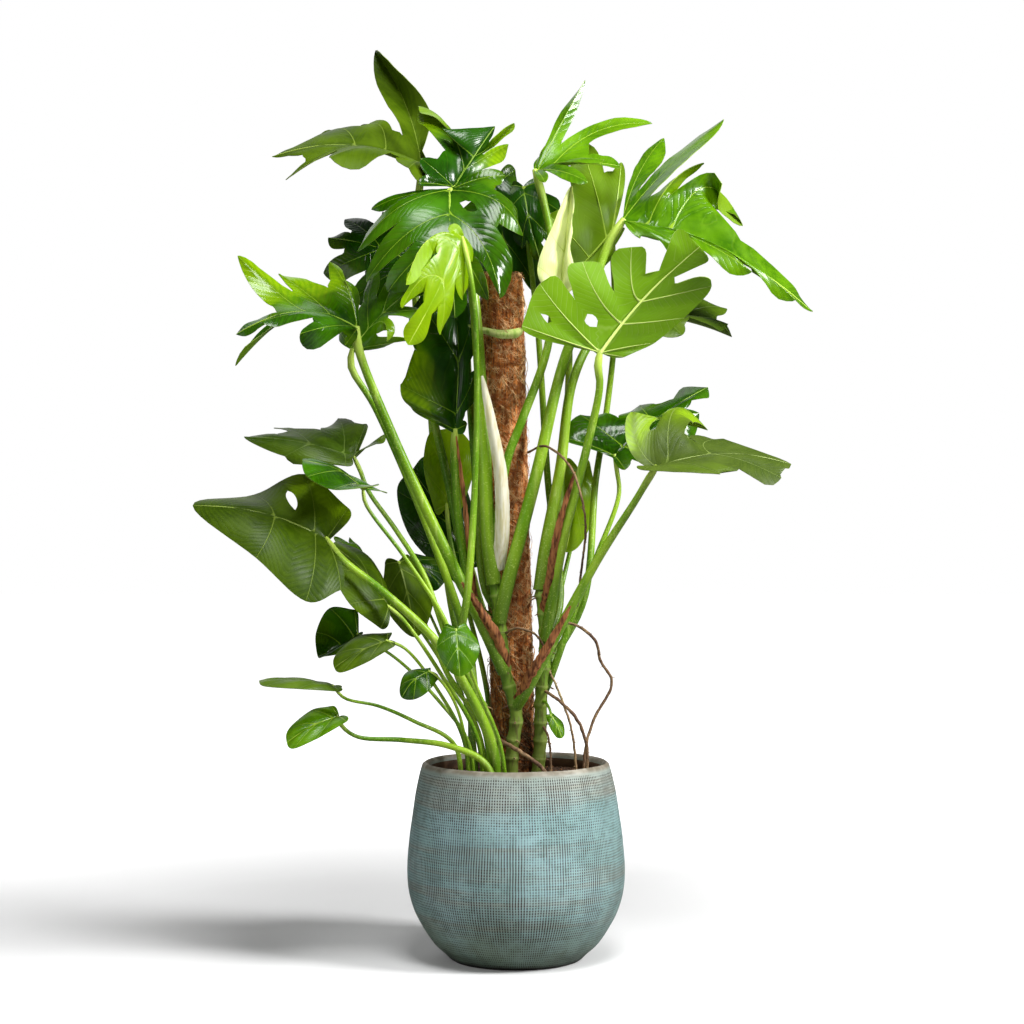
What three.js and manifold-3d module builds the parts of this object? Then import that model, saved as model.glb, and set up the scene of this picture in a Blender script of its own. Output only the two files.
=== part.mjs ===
// Potted swiss cheese plant on a coir pole, life size. Millimetres, +Z up, origin under the pot's centre.
// Seen from the front, from -Y towards +Y, +X is to the right.
import * as THREE from 'three';
import { mergeVertices } from 'three/addons/utils/BufferGeometryUtils.js';
import Module from 'manifold-3d';

const wasm = await Module();
wasm.setup();

// Planter
const potHeight = 293;
const potRadius = 163;
const footRadius = 102;
const mouthRadius = 130;
const wallThickness = 12;
const potFloorThickness = 14;
const potSides = 28;

// Soil
const soilDepthBelowRim = 23;
const soilTop = potHeight - soilDepthBelowRim;
const soilRise = 4;
const soilGap = 0.6;

// Coir pole
const poleRadius = 32;
const poleFoot = [3, 0, 45];
const poleTop = [-22, 0, 1022];
const poleSides = 16;

// Climbing stems: their taper from foot to top and the swelling at each node
const stemTaper = 0.25;
const nodeSwelling = 1.14;
const stemSteps = 15;
const stepsBetweenNodes = 4;
const stemSides = 8;

// Leaves and thin sheaths
const bladeThickness = 0.9;
const stalkPastJoint = 2.5;
const stalkSteps = 7;
const thickStalkRadius = 7;
const widestStation = 0.2;
const terminalRoot = 0.68;
const rootReach = 0.58;
const lobeCurl = 0.15;
const usualCut = 0.55;
const usualGap = 0.14;
const bluntFrom = 0.7;
const lobeEnds = {
  straight: { from: 0.55, power: 2.1, root: 1.2 },
  curved: { from: 0.66, power: 2.8, root: 1.6 },
};
const usualTwist = 0.35;
const usualFold = 0.3;
const slotEnd = 0.15;
const veinSteps = [0, 0.1, 0.2, 0.3, 0.4, 0.5, 0.6, 0.7, 0.8, 0.9, 1];
const usualHalfWidth = 0.19;
const holeReach = 0.62;
const basalMargin = 0.45;
const sheathRows = 5;
const sheathFold = 0.35;

// The gap between pieces that touch
const seatGap = 0.3;

// Where the rows of a blade lie between its midrib and its margin, for whole, cut and deeply cut blades
const rowShares = {
  plain: [0, 0.5, 1],
  coarse: [0, 0.4, 0.78, 1],
  fine: [0, 0.25, 0.55, 0.82, 1],
  deep: [0, 0.2, 0.45, 0.78, 1],
};

// Colours and finish of each kind of piece
const finish = {
  glaze: { color: 0x6f9494, roughness: 0.55 },
  soil: { color: 0x3a2417, roughness: 1 },
  coir: { color: 0x8a5530, roughness: 1 },
  stem: { color: 0x5f9a37, roughness: 0.5 },
  leaf: { color: 0x2f6a1c, roughness: 0.4 },
  paleLeaf: { color: 0xd9e6a0, roughness: 0.5 },
  drySheath: { color: 0xa5653b, roughness: 0.9 },
  paleSheath: { color: 0xe6e0c8, roughness: 0.7 },
  root: { color: 0x5a4132, roughness: 0.9 },
};

// The leaves. For each: where its blade joins its stalk, its tip, the widest points of both sides, how far
// its midrib bows and the lobes on a side. Lobes are named by side and order from the joint, L0, L1 and so
// on, R0, R1 and so on, and T for the one at the tip. tips and bends place single lobes, cuts say where the
// cut beyond a lobe begins between the midrib (0) and the margin (1), holes where a hole lies beyond it, and
// widths limit a lobe's half width. Lobes end in a point, or round where blunt is given, and twists and fold
// say in radians how far they turn and fold about their veins. The stalk runs from what carries it up to
// the joint, with its radius given at its foot and at its bent knee.
const leaves = {
  leaf_upright_lobe: {
    joint: [-144, 60, 1193],
    tip: [-366, 0, 1200],
    left: [-209, -100, 1181],
    right: [-230, 170, 1255],
    bow: 26,
    lobes: 4,
    rows: rowShares.deep,
    cuts: { R0: 0.2, R1: 0.2, R2: 0.45 },
    widths: { R0: 20, R1: 34, R2: 16, R3: 13, T: 13, L3: 12 },
    twists: { R1: 0, R3: 0.6 },
    bends: {
      R1: [-164, 200, 1324],
      R2: [-202, 120, 1299],
      R3: [-263, 100, 1284],
    },
    tips: {
      R1: [-226, 230, 1407],
      R2: [-249, 120, 1254],
      R3: [-309, 100, 1239],
      L3: [-340, -50, 1157],
      L0: [-121, 34, 1192],
      R0: [-116, 60, 1205],
    },
    stem: 'left',
    stalkRadius: [7, 5.2],
    stalk: [
      [-21, -44, 460], [-48, -34, 489], [-63, 6, 535], [-85, 42, 624],
      [-104, 54, 716], [-132, 74, 839], [-154, 98, 979], [-155, 102, 1103],
    ],
  },
  leaf_top: {
    joint: [-93, -10, 1153],
    tip: [-32, 30, 1251],
    left: [-148, 20, 1213],
    right: [-1, 50, 1234],
    bow: 10,
    lobes: 4,
    cut: 0.4,
    rows: rowShares.coarse,
    cuts: { L3: 1, L0: 0.78, R0: 0.78, R2: 0.3, R3: 0.3 },
    widths: { L2: 30, T: 40, L3: 40, R3: 12, R2: 26, R1: 20, L0: 24, L1: 24 },
    bends: {
      L2: [-97, 40, 1275],
      R3: [-40, 60, 1220],
    },
    tips: {
      L0: [-143, -66, 1150],
      L1: [-141, -46, 1190],
      L2: [-149, 70, 1289],
      L3: [-111, 0, 1243],
      R3: [-3, 80, 1265],
      R2: [-11, 60, 1229],
      R1: [-24, 30, 1170],
      R0: [-66, 10, 1136],
    },
    stem: 'left',
    stalkRadius: [7, 4],
    stalk: [
      [-30, -44, 525], [-45, -26, 551], [-55, -10, 618], [-60, 14, 715],
      [-70, 44, 837], [-79, 64, 991], [-88, 34, 1094],
    ],
  },
  leaf_front_crown: {
    joint: [-98, -50, 1142],
    tip: [-88, -130, 946],
    left: [14, -110, 1061],
    right: [-213, -90, 1071],
    bow: 30,
    lobes: 4,
    gap: 0.1,
    rows: rowShares.fine,
    cuts: { R0: 0.45, R1: 0.5, R2: 0.4 },
    widths: { L1: 46, R1: 36, R2: 30, R0: 22, L2: 34 },
    bends: {
      L1: [-9, -110, 1133],
      L2: [-38, -120, 1071],
      R1: [-180, -110, 1125],
      R2: [-162, -120, 1086],
    },
    tips: {
      R0: [-214, -50, 1114],
      R1: [-232, -90, 1046],
      R2: [-217, -115, 1000],
      R3: [-185, -125, 984],
      L0: [-16, -40, 1165],
      L1: [10, -80, 1071],
      L2: [-23, -130, 975],
      L3: [-41, -120, 973],
    },
    stem: 'left',
    stalkRadius: [12, 6.5],
    stalk: [
      [-33, -52, 561], [-41, -54, 626], [-47, -54, 758], [-62, -40, 981],
      [-80, -24, 1087],
    ],
  },
  leaf_backlit: {
    joint: [-77, -150, 1059],
    tip: [-152, -200, 902],
    left: [-71, -170, 968],
    right: [-156, -200, 1019],
    bow: 12,
    lobes: 3,
    cut: 0.35,
    fold: 0.5,
    rows: rowShares.coarse,
    cuts: { R1: 0.25, R0: 0.5 },
    widths: { R1: 22, R2: 18, T: 22, L1: 20, L2: 18 },
    bends: {
      R1: [-130, -190, 1087],
      R2: [-130, -205, 1018],
    },
    tips: {
      R0: [-97, -160, 1072],
      R1: [-154, -220, 984],
      R2: [-160, -215, 952],
      L0: [-63, -140, 1026],
      L1: [-77, -160, 969],
      L2: [-108, -180, 918],
    },
    stem: 'young',
    stalkRadius: [6, 3],
    stalk: [
      [-86, -84, 460], [-78, -108, 503], [-70, -114, 554], [-61, -100, 684],
      [-57, -116, 829], [-60, -162, 969], [-70, -164, 1031],
    ],
  },
  leaf_inner_left: {
    joint: [-146, 40, 1041],
    tip: [-287, 60, 1086],
    left: [-248, 20, 987],
    right: [-204, 100, 1131],
    bow: 14,
    lobes: 3,
    cut: 0.5,
    stem: 'soil',
    stalkRadius: [6, 3.5],
    stalk: [
      [-70, 34, 208], [-70, 64, 379], [-103, 134, 529], [-120, 166, 654],
      [-132, 166, 781], [-140, 120, 935],
    ],
  },
  leaf_inner_right: {
    joint: [-34, 125, 1175],
    tip: [0, 112, 968],
    left: [46, 135, 1108],
    right: [-84, 125, 1103],
    bow: 8,
    lobes: 3,
    cut: 0.5,
    stem: 'soil',
    stalkRadius: [6, 3.5],
    stalk: [
      [0, 62, 204], [6, 84, 455], [10, 112, 763], [-3, 166, 1001],
      [-28, 154, 1126],
    ],
  },
  leaf_cluster_left_a: {
    joint: [-229, -130, 932],
    tip: [-394, -200, 917],
    left: [-300, -240, 899],
    right: [-315, -90, 1020],
    bow: 34,
    lobes: 4,
    fold: 0.5,
    rows: rowShares.coarse,
    cuts: { R3: 0.3, L3: 0.4 },
    widths: { R3: 26, R2: 26, R1: 18, R0: 20, L3: 20, L2: 22, T: 18 },
    twists: { R0: 0, L0: 0, L2: 0 },
    bends: {
      R3: [-319, -110, 957],
      R2: [-288, -100, 975],
      R0: [-232, -104, 969],
      L3: [-330, -220, 946],
    },
    tips: {
      R0: [-251, -90, 1007],
      R1: [-275, -60, 1035],
      R2: [-346, -90, 1015],
      R3: [-402, -120, 1037],
      L3: [-392, -220, 871],
      L2: [-353, -240, 931],
      L1: [-300, -240, 914],
      L0: [-244, -160, 905],
    },
    stem: 'left',
    stalkRadius: [10, 5.5],
    stalk: [
      [-18, -56, 431], [-44, -72, 491], [-96, -90, 597], [-178, -108, 776],
      [-228, -130, 907],
    ],
  },
  leaf_cluster_left_b: {
    joint: [-239, -90, 903],
    tip: [-134, -60, 1006],
    left: [-212, -20, 1031],
    right: [-170, -80, 904],
    bow: 18,
    lobes: 4,
    cut: 0.35,
    gap: 0.2,
    fold: 0.5,
    rows: rowShares.coarse,
    widths: { T: 20, R2: 22, R3: 18, R1: 16, L1: 26, L2: 24, L3: 16, L0: 20 },
    bends: {
      L1: [-239, -20, 974],
      R2: [-183, -110, 960],
    },
    tips: {
      L0: [-261, -40, 937],
      L1: [-256, -10, 1014],
      L2: [-209, -10, 1032],
      L3: [-167, -20, 1025],
      R3: [-132, -100, 961],
      R2: [-186, -130, 913],
      R1: [-151, -100, 917],
      R0: [-223, -70, 905],
    },
    stem: 'young',
    stalkRadius: [7, 4.5],
    stalk: [
      [-62, -78, 407], [-71, -44, 469], [-112, -50, 596], [-205, -80, 818],
      [-241, -88, 880],
    ],
  },
  leaf_hanging: {
    joint: [-91, -20, 789],
    tip: [-97, 40, 1027],
    left: [-172, -40, 870],
    right: [-57, 20, 912],
    bow: 20,
    lobes: 3,
    rows: rowShares.fine,
    cuts: { L0: 1, L1: 0.84, L2: 1, R2: 1, R1: 0.5, R0: 0.45 },
    tips: {
      L0: [-153, -40, 818],
      L1: [-171, -50, 855],
      L2: [-147, 10, 986],
      R0: [-73, -10, 799],
      R1: [-60, -6, 880],
      R2: [-63, 20, 987],
    },
    stem: 'left',
    stalkRadius: [9, 4.5],
    stalk: [
      [-25, -50, 496], [-60, -14, 530], [-82, -2, 625], [-93, -10, 745],
    ],
  },
  leaf_narrow_lobes: {
    joint: [29, 30, 1183],
    tip: [158, 40, 1192],
    left: [115, 120, 1246],
    right: [101, -60, 1148],
    bow: 10,
    lobes: 3,
    cut: 0.22,
    rootReach: 0.3,
    rows: rowShares.deep,
    widths: { L1: 13, L2: 13, R2: 14, L0: 14, T: 18, R1: 16 },
    bends: {
      L1: [68, 70, 1262],
      L2: [118, 100, 1276],
      L0: [31, 60, 1220],
    },
    tips: {
      L1: [107, 100, 1335],
      L2: [212, 120, 1271],
      R1: [106, -50, 1154],
      R2: [132, -10, 1193],
      L0: [71, 80, 1236],
      R0: [43, -30, 1157],
    },
    stem: 'left',
    stalkRadius: [7, 5.5],
    stalk: [
      [-33, -54, 584], [-27, -58, 655], [-13, -58, 744], [9, -52, 803],
      [48, -20, 917], [57, 6, 1046], [41, 20, 1138],
    ],
  },
  leaf_under_narrow: {
    joint: [12, 84, 1166],
    tip: [38, 54, 1048],
    left: [67, 60, 1128],
    right: [-15, 80, 1124],
    bow: 18,
    lobes: 3,
    rows: rowShares.coarse,
    stem: 'right',
    stalkRadius: [6, 4],
    stalk: [
      [43, -32, 465], [66, 6, 529], [49, 76, 716], [34, 92, 948],
      [19, 102, 1088],
    ],
  },
  leaf_big_right: {
    joint: [161, 10, 1106],
    tip: [450, 40, 971],
    left: [272, 130, 1216],
    right: [258, -40, 1037],
    bow: 30,
    lobes: 4,
    rootReach: 0.3,
    fold: 0.5,
    rows: rowShares.deep,
    cuts: { L0: 0.2, L1: 0.2, L2: 0.24, L3: 0.3, R3: 0.5, R2: 0.6, R1: 0.45, R0: 0.75 },
    widths: { L0: 36, L1: 30, L2: 18, L3: 36, T: 26, R3: 24, R2: 26 },
    twists: { L3: 0.7 },
    bends: {
      L0: [184, 130, 1201],
      L1: [230, 110, 1207],
      L2: [229, 20, 1183],
      L3: [290, 50, 1225],
    },
    tips: {
      L0: [234, 170, 1258],
      L1: [325, 130, 1279],
      L2: [282, 0, 1191],
      L3: [347, 60, 1104],
      R0: [185, -20, 1075],
      R1: [275, -40, 1037],
      R2: [353, -10, 1026],
      R3: [421, 10, 986],
    },
    stem: 'left',
    stalkRadius: [11, 6],
    stalk: [
      [-25, -54, 505], [-15, -62, 552], [28, -46, 714], [72, -18, 894],
      [114, -6, 999], [138, 4, 1066],
    ],
  },
  leaf_right_inner: {
    joint: [146, 48, 1093],
    tip: [61, 28, 1003],
    left: [61, 60, 1159],
    right: [130, 24, 1036],
    bow: 10,
    lobes: 3,
    cut: 0.7,
    rows: rowShares.coarse,
    widths: { L0: 30, L1: 40 },
    tips: {
      L0: [162, 80, 1205],
      L1: [99, 80, 1233],
      L2: [49, 50, 1119],
    },
    stem: 'right',
    stalkRadius: [6, 4],
    stalk: [
      [40, -36, 430], [63, -2, 460], [102, 8, 535], [122, 60, 716],
      [139, 96, 815], [152, 96, 933], [151, 76, 1008],
    ],
  },
  leaf_rolled_new: {
    joint: [65, -44, 984],
    tip: [82, -20, 1153],
    left: [32, -60, 1026],
    right: [97, -60, 1044],
    bow: -6,
    lobes: 3,
    curl: 0.3,
    cut: 1,
    look: 'paleLeaf',
    tips: {
      R2: [84, -40, 1107],
      R1: [80, -50, 1054],
      L2: [50, -44, 1081],
      R0: [94, -56, 1009],
      L0: [44, -58, 985],
    },
    stem: 'right',
    stalkRadius: [6, 5],
    stalk: [
      [37, -36, 528], [60, 10, 595], [70, 58, 731], [80, 60, 853],
      [78, 6, 948],
    ],
  },
  leaf_light_front: {
    joint: [121, -120, 897],
    tip: [265, -120, 1050],
    left: [244, -20, 956],
    right: [56, -110, 1003],
    bow: 18,
    lobes: 4,
    gap: 0.1,
    blunt: 4,
    fold: 0,
    rows: rowShares.fine,
    cuts: { L0: 1, L1: 1, L2: 1, L3: 0.38, R3: 0.5, R2: 0.48, R1: 0.62, R0: 1 },
    widths: { T: 42, R2: 38, R3: 32, R1: 50, R0: 60, L3: 30, L2: 44 },
    bends: {
      R2: [115, -126, 967],
      R3: [161, -120, 979],
    },
    tips: {
      R0: [8, -130, 935],
      R1: [34, -125, 996],
      R2: [96, -104, 1030],
      R3: [168, -100, 1052],
      L0: [159, -60, 895],
      L1: [205, -36, 918],
      L2: [249, -36, 955],
      L3: [288, -60, 1000],
    },
    stem: 'right',
    stalkRadius: [9, 5],
    stalk: [
      [43, -44, 478], [53, -56, 537], [67, -78, 619], [102, -98, 757],
      [121, -114, 851], [118, -120, 878],
    ],
  },
  leaf_behind_light: {
    joint: [190, 60, 973],
    tip: [333, 90, 937],
    left: [273, 140, 1015],
    right: [246, 0, 933],
    bow: 8,
    lobes: 3,
    rows: rowShares.coarse,
    tips: {
      L2: [330, 130, 984],
      R2: [324, 60, 954],
      L0: [162, 110, 996],
      R0: [157, 20, 939],
    },
    stem: 'right',
    stalkRadius: [10, 5.5],
    stalk: [
      [35, -40, 551], [43, -32, 611], [66, -4, 730], [86, 10, 866],
      [125, 42, 938],
    ],
  },
  leaf_middle_left: {
    joint: [-239, -60, 748],
    tip: [-394, -110, 776],
    left: [-282, -130, 727],
    right: [-281, 20, 791],
    bow: 8,
    lobes: 3,
    gap: 0.2,
    rows: rowShares.coarse,
    cuts: { L0: 0.4, L1: 0.84, L2: 1, R2: 0.42, R1: 0.5, R0: 0.84 },
    widths: { R2: 9, T: 12, L0: 12 },
    tips: {
      R0: [-224, -20, 798],
      R1: [-268, 10, 808],
      R2: [-360, -30, 792],
      L0: [-192, -50, 779],
      L1: [-249, -90, 734],
      L2: [-336, -100, 748],
    },
    stem: 'young',
    stalkRadius: [5, 3],
    stalk: [
      [-73, -80, 427], [-99, -104, 481], [-134, -98, 575], [-176, -80, 641],
      [-218, -60, 699], [-230, -58, 729],
    ],
  },
  leaf_middle_left_low: {
    joint: [-221, -120, 700],
    tip: [-305, -160, 740],
    left: [-255, -200, 698],
    right: [-265, -80, 728],
    bow: 10,
    lobes: 3,
    cut: 1,
    tips: {
      R0: [-194, -90, 696],
      L0: [-201, -160, 704],
    },
    stem: 'young',
    stalkRadius: [4, 2.5],
    stalk: [
      [-53, -78, 386], [-79, -106, 447], [-107, -114, 518], [-162, -116, 603],
      [-217, -124, 679],
    ],
  },
  leaf_large_low: {
    joint: [-275, -110, 628],
    tip: [-464, -140, 676],
    left: [-319, -190, 557],
    right: [-318, -60, 714],
    bow: 22,
    lobes: 3,
    cut: 1,
    rows: rowShares.coarse,
    holes: { R1: 0.4 },
    tips: {
      R0: [-244, -100, 673],
      R1: [-312, -60, 723],
      R2: [-385, -70, 692],
      L0: [-250, -160, 556],
      L1: [-297, -190, 541],
      L2: [-367, -190, 602],
    },
    stem: 'soil',
    stalkRadius: [8, 5],
    stalk: [
      [-25, -84, 229], [-35, -92, 328], [-80, -112, 427], [-117, -120, 482],
      [-190, -138, 552], [-246, -132, 595], [-265, -118, 614],
    ],
  },
  leaf_low_a: {
    joint: [-186, -100, 530],
    tip: [-268, -90, 619],
    left: [-238, -140, 534],
    right: [-213, -50, 596],
    bow: 10,
    lobes: 3,
    cut: 1,
    stem: 'soil',
    stalkRadius: [4, 2.5],
    stalk: [
      [-47, -60, 225], [-56, -68, 332], [-111, -98, 434], [-163, -106, 510],
    ],
  },
  leaf_low_b: {
    joint: [-173, -46, 592],
    tip: [-147, -66, 483],
    left: [-125, -26, 551],
    right: [-196, -40, 537],
    bow: 14,
    lobes: 3,
    cut: 1,
    stem: 'soil',
    stalkRadius: [4, 2.5],
    stalk: [
      [-40, -32, 222], [-48, -30, 343], [-98, -30, 417], [-137, -16, 503],
      [-166, -34, 563],
    ],
  },
  leaf_crinkled: {
    joint: [-226, 14, 586],
    tip: [-279, 0, 616],
    left: [-256, -10, 574],
    right: [-252, 40, 628],
    bow: 5,
    lobes: 3,
    cut: 0.6,
    rows: rowShares.coarse,
    stem: 'soil',
    stalkRadius: [3, 2],
    stalk: [
      [-42, -6, 218], [-54, 0, 333], [-114, 10, 444], [-190, 18, 549],
    ],
  },
  leaf_behind_left_a: {
    joint: [-107, 80, 678],
    tip: [-117, 100, 794],
    left: [-141, 70, 731],
    right: [-62, 90, 747],
    bow: 12,
    lobes: 3,
    cut: 1,
    stem: 'soil',
    stalkRadius: [5, 3],
    stalk: [
      [-35, 28, 213], [-42, 34, 382], [-73, 60, 517], [-101, 84, 624],
    ],
  },
  leaf_behind_left_b: {
    joint: [-68, 90, 584],
    tip: [-162, 130, 733],
    left: [-160, 90, 624],
    right: [-84, 140, 717],
    bow: 12,
    lobes: 3,
    cut: 1,
    stem: 'soil',
    stalkRadius: [5, 3],
    stalk: [
      [-15, 48, 210], [-21, 56, 380], [-40, 76, 486], [-58, 88, 547],
    ],
  },
  leaf_small_dark: {
    joint: [-157, 20, 595],
    tip: [-112, 0, 556],
    left: [-118, 26, 594],
    right: [-147, 0, 562],
    bow: 6,
    lobes: 3,
    cut: 1,
    stem: 'soil',
    stalkRadius: [3, 2],
    stalk: [
      [-57, 14, 215], [-65, 24, 330], [-100, 38, 442], [-146, 42, 548],
    ],
  },
  leaf_heart_front: {
    joint: [-86, -150, 498],
    tip: [-80, -172, 434],
    left: [-53, -152, 477],
    right: [-113, -158, 476],
    bow: 6,
    lobes: 3,
    cut: 1,
    stem: 'soil',
    stalkRadius: [3.5, 2],
    stalk: [
      [-12, -96, 231], [-23, -112, 330], [-55, -132, 411], [-75, -146, 467],
    ],
  },
  leaf_low_left_a: {
    joint: [-186, -120, 481],
    tip: [-260, -150, 444],
    left: [-212, -150, 453],
    right: [-229, -110, 487],
    bow: 6,
    lobes: 3,
    cut: 1,
    stem: 'soil',
    stalkRadius: [3.5, 2],
    stalk: [
      [-68, -62, 226], [-76, -72, 330], [-114, -96, 408], [-161, -117, 470],
    ],
  },
  leaf_low_left_b: {
    joint: [-234, -40, 486],
    tip: [-290, -80, 456],
    left: [-255, -80, 462],
    right: [-277, -20, 524],
    bow: -6,
    lobes: 3,
    cut: 1,
    stem: 'soil',
    stalkRadius: [3.5, 2],
    stalk: [
      [-62, -42, 223], [-71, -40, 326], [-116, -40, 389], [-175, -40, 448],
    ],
  },
  leaf_small_curled: {
    joint: [-124, -140, 438],
    tip: [-163, -156, 402],
    left: [-126, -164, 411],
    right: [-156, -130, 437],
    bow: 10,
    lobes: 3,
    cut: 1,
    stem: 'soil',
    stalkRadius: [3, 2],
    stalk: [
      [-64, -80, 228], [-73, -84, 325], [-87, -120, 388], [-109, -140, 426],
    ],
  },
  leaf_small_right: {
    joint: [51, -62, 368],
    tip: [67, -74, 336],
    left: [68, -60, 358],
    right: [50, -72, 350],
    bow: 4,
    lobes: 3,
    cut: 1,
    stem: 'right',
    stalkRadius: [2.5, 1.8],
    stalk: [
      [37, -34, 388], [44, -48, 385], [50, -59, 375],
    ],
  },
  leaf_edge_on: {
    joint: [-264, -120, 416],
    tip: [-365, -170, 427],
    left: [-307, -175, 416],
    right: [-313, -110, 421],
    bow: 4,
    lobes: 3,
    cut: 1,
    stem: 'soil',
    stalkRadius: [4, 2],
    stalk: [
      [-79, -80, 228], [-90, -92, 328], [-148, -110, 364], [-199, -120, 387],
      [-248, -124, 399],
    ],
  },
  leaf_lowest: {
    joint: [-258, -110, 370],
    tip: [-328, -150, 337],
    left: [-283, -150, 344],
    right: [-296, -110, 380],
    bow: 8,
    lobes: 3,
    cut: 1,
    tips: {
      R0: [-269, -100, 385],
      L0: [-244, -140, 366],
    },
    stem: 'soil',
    stalkRadius: [6, 2.5],
    stalk: [
      [-23, -104, 232], [-44, -104, 301], [-97, -110, 328], [-164, -112, 337],
      [-230, -114, 342], [-252, -112, 357],
    ],
  },
  leaf_right_front: {
    joint: [201, -140, 732],
    tip: [392, -160, 735],
    left: [278, -60, 802],
    right: [287, -200, 712],
    bow: 20,
    lobes: 3,
    rows: rowShares.fine,
    cuts: { L0: 1, L1: 0.25, L2: 1, R2: 0.84, R1: 0.8, R0: 1 },
    holes: { L0: 0.55 },
    widths: { L1: 44, L0: 34, L2: 26, T: 26 },
    twists: { L1: 0 },
    bends: {
      L0: [164, -120, 759],
      L1: [214, -70, 872],
      L2: [252, -110, 771],
    },
    tips: {
      L0: [171, -110, 812],
      L1: [284, -40, 788],
      L2: [301, -110, 773],
      R2: [374, -190, 715],
      R1: [286, -210, 720],
      R0: [182, -180, 726],
    },
    stem: 'left',
    stalkRadius: [9, 4.5],
    stalk: [
      [1, -52, 381], [12, -62, 399], [36, -74, 444], [116, -106, 594],
      [172, -132, 684], [189, -138, 713],
    ],
  },
  leaf_right_back: {
    joint: [149, 20, 752],
    tip: [297, 100, 860],
    left: [113, 60, 815],
    right: [248, 20, 776],
    bow: 14,
    lobes: 3,
    rows: rowShares.coarse,
    cuts: { L0: 1 },
    widths: { L0: 34, L1: 40, L2: 34 },
    tips: {
      L0: [68, 20, 779],
      L1: [98, 50, 815],
      L2: [191, 90, 832],
      R0: [163, -10, 730],
      R1: [217, 10, 745],
      R2: [280, 60, 818],
    },
    stem: 'right',
    stalkRadius: [6, 3],
    stalk: [
      [37, -34, 388], [50, -34, 418], [89, -28, 526], [123, -10, 607],
      [155, 12, 694], [152, 16, 730],
    ],
  },
  leaf_behind_right: {
    joint: [96, 96, 732],
    tip: [77, 90, 605],
    left: [124, 94, 678],
    right: [49, 84, 685],
    bow: 14,
    lobes: 3,
    cut: 1,
    stem: 'right',
    stalkRadius: [4, 3],
    stalk: [
      [34, -26, 381], [52, 44, 472], [81, 124, 592], [100, 128, 670],
      [109, 112, 717],
    ],
  },
};

const plant = new THREE.Group();
plant.name = 'potted_swiss_cheese_plant';

const vector = ([x, y, z]) => new THREE.Vector3(x, y, z);

// A closed mesh as a solid, with only its positions kept
function toSolid(geometry) {
  geometry.deleteAttribute('normal');
  geometry.deleteAttribute('uv');
  const merged = mergeVertices(geometry, 1e-4);
  return new wasm.Manifold(new wasm.Mesh({
    numProp: 3,
    vertProperties: new Float32Array(merged.attributes.position.array),
    triVerts: new Uint32Array(merged.index.array),
  }));
}

function addPiece(name, solid, look) {
  const mesh = solid.getMesh();
  const geometry = new THREE.BufferGeometry();
  geometry.setAttribute('position', new THREE.BufferAttribute(mesh.vertProperties, 3));
  geometry.setIndex(new THREE.BufferAttribute(mesh.triVerts, 1));
  const piece = new THREE.Mesh(geometry, new THREE.MeshStandardMaterial({ metalness: 0, ...finish[look] }));
  piece.name = name;
  plant.add(piece);
}

// A round bar along a smooth path through the points. radiusAt gives its radius at each share of the path
function bar(points, radiusAt, sides = 6, steps = 8) {
  const path = new THREE.CatmullRomCurve3(points.map(vector));
  const section = new THREE.Shape();
  for (let side = 0; side < sides; side += 1) {
    const angle = (2 * Math.PI * side) / sides;
    section[side ? 'lineTo' : 'moveTo'](Math.cos(angle), Math.sin(angle));
  }
  const geometry = new THREE.ExtrudeGeometry(section, { steps, extrudePath: path, bevelEnabled: false });
  const centres = path.getSpacedPoints(steps);
  const corners = geometry.attributes.position;
  const corner = new THREE.Vector3();
  for (let index = 0; index < corners.count; index += 1) {
    corner.fromBufferAttribute(corners, index);
    let nearest = 0;
    centres.forEach((centre, step) => {
      if (centre.distanceTo(corner) < centres[nearest].distanceTo(corner)) nearest = step;
    });
    const centre = centres[nearest];
    corner.sub(centre).multiplyScalar(radiusAt(nearest / steps)).add(centre);
    corners.setXYZ(index, corner.x, corner.y, corner.z);
  }
  return toSolid(geometry);
}

// The piece without what its carriers take, in one body: the largest that is left
function seated(solid, carriers) {
  let rest = solid;
  for (const carrier of carriers) rest = rest.subtract(carrier);
  return rest.decompose().reduce((largest, body) => (body.volume() > largest.volume() ? body : largest));
}

// One half of the blade's outline, across as a share of its half width and along as a share of its length
const halfOutline = new THREE.SplineCurve([
  [0.05, -0.05], [0.3, -0.19], [0.62, -0.2], [0.9, -0.06], [1, 0.16],
  [0.96, 0.4], [0.8, 0.62], [0.54, 0.82], [0.24, 0.95], [0, 1],
].map(([across, along]) => new THREE.Vector2(across, along)));

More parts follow.
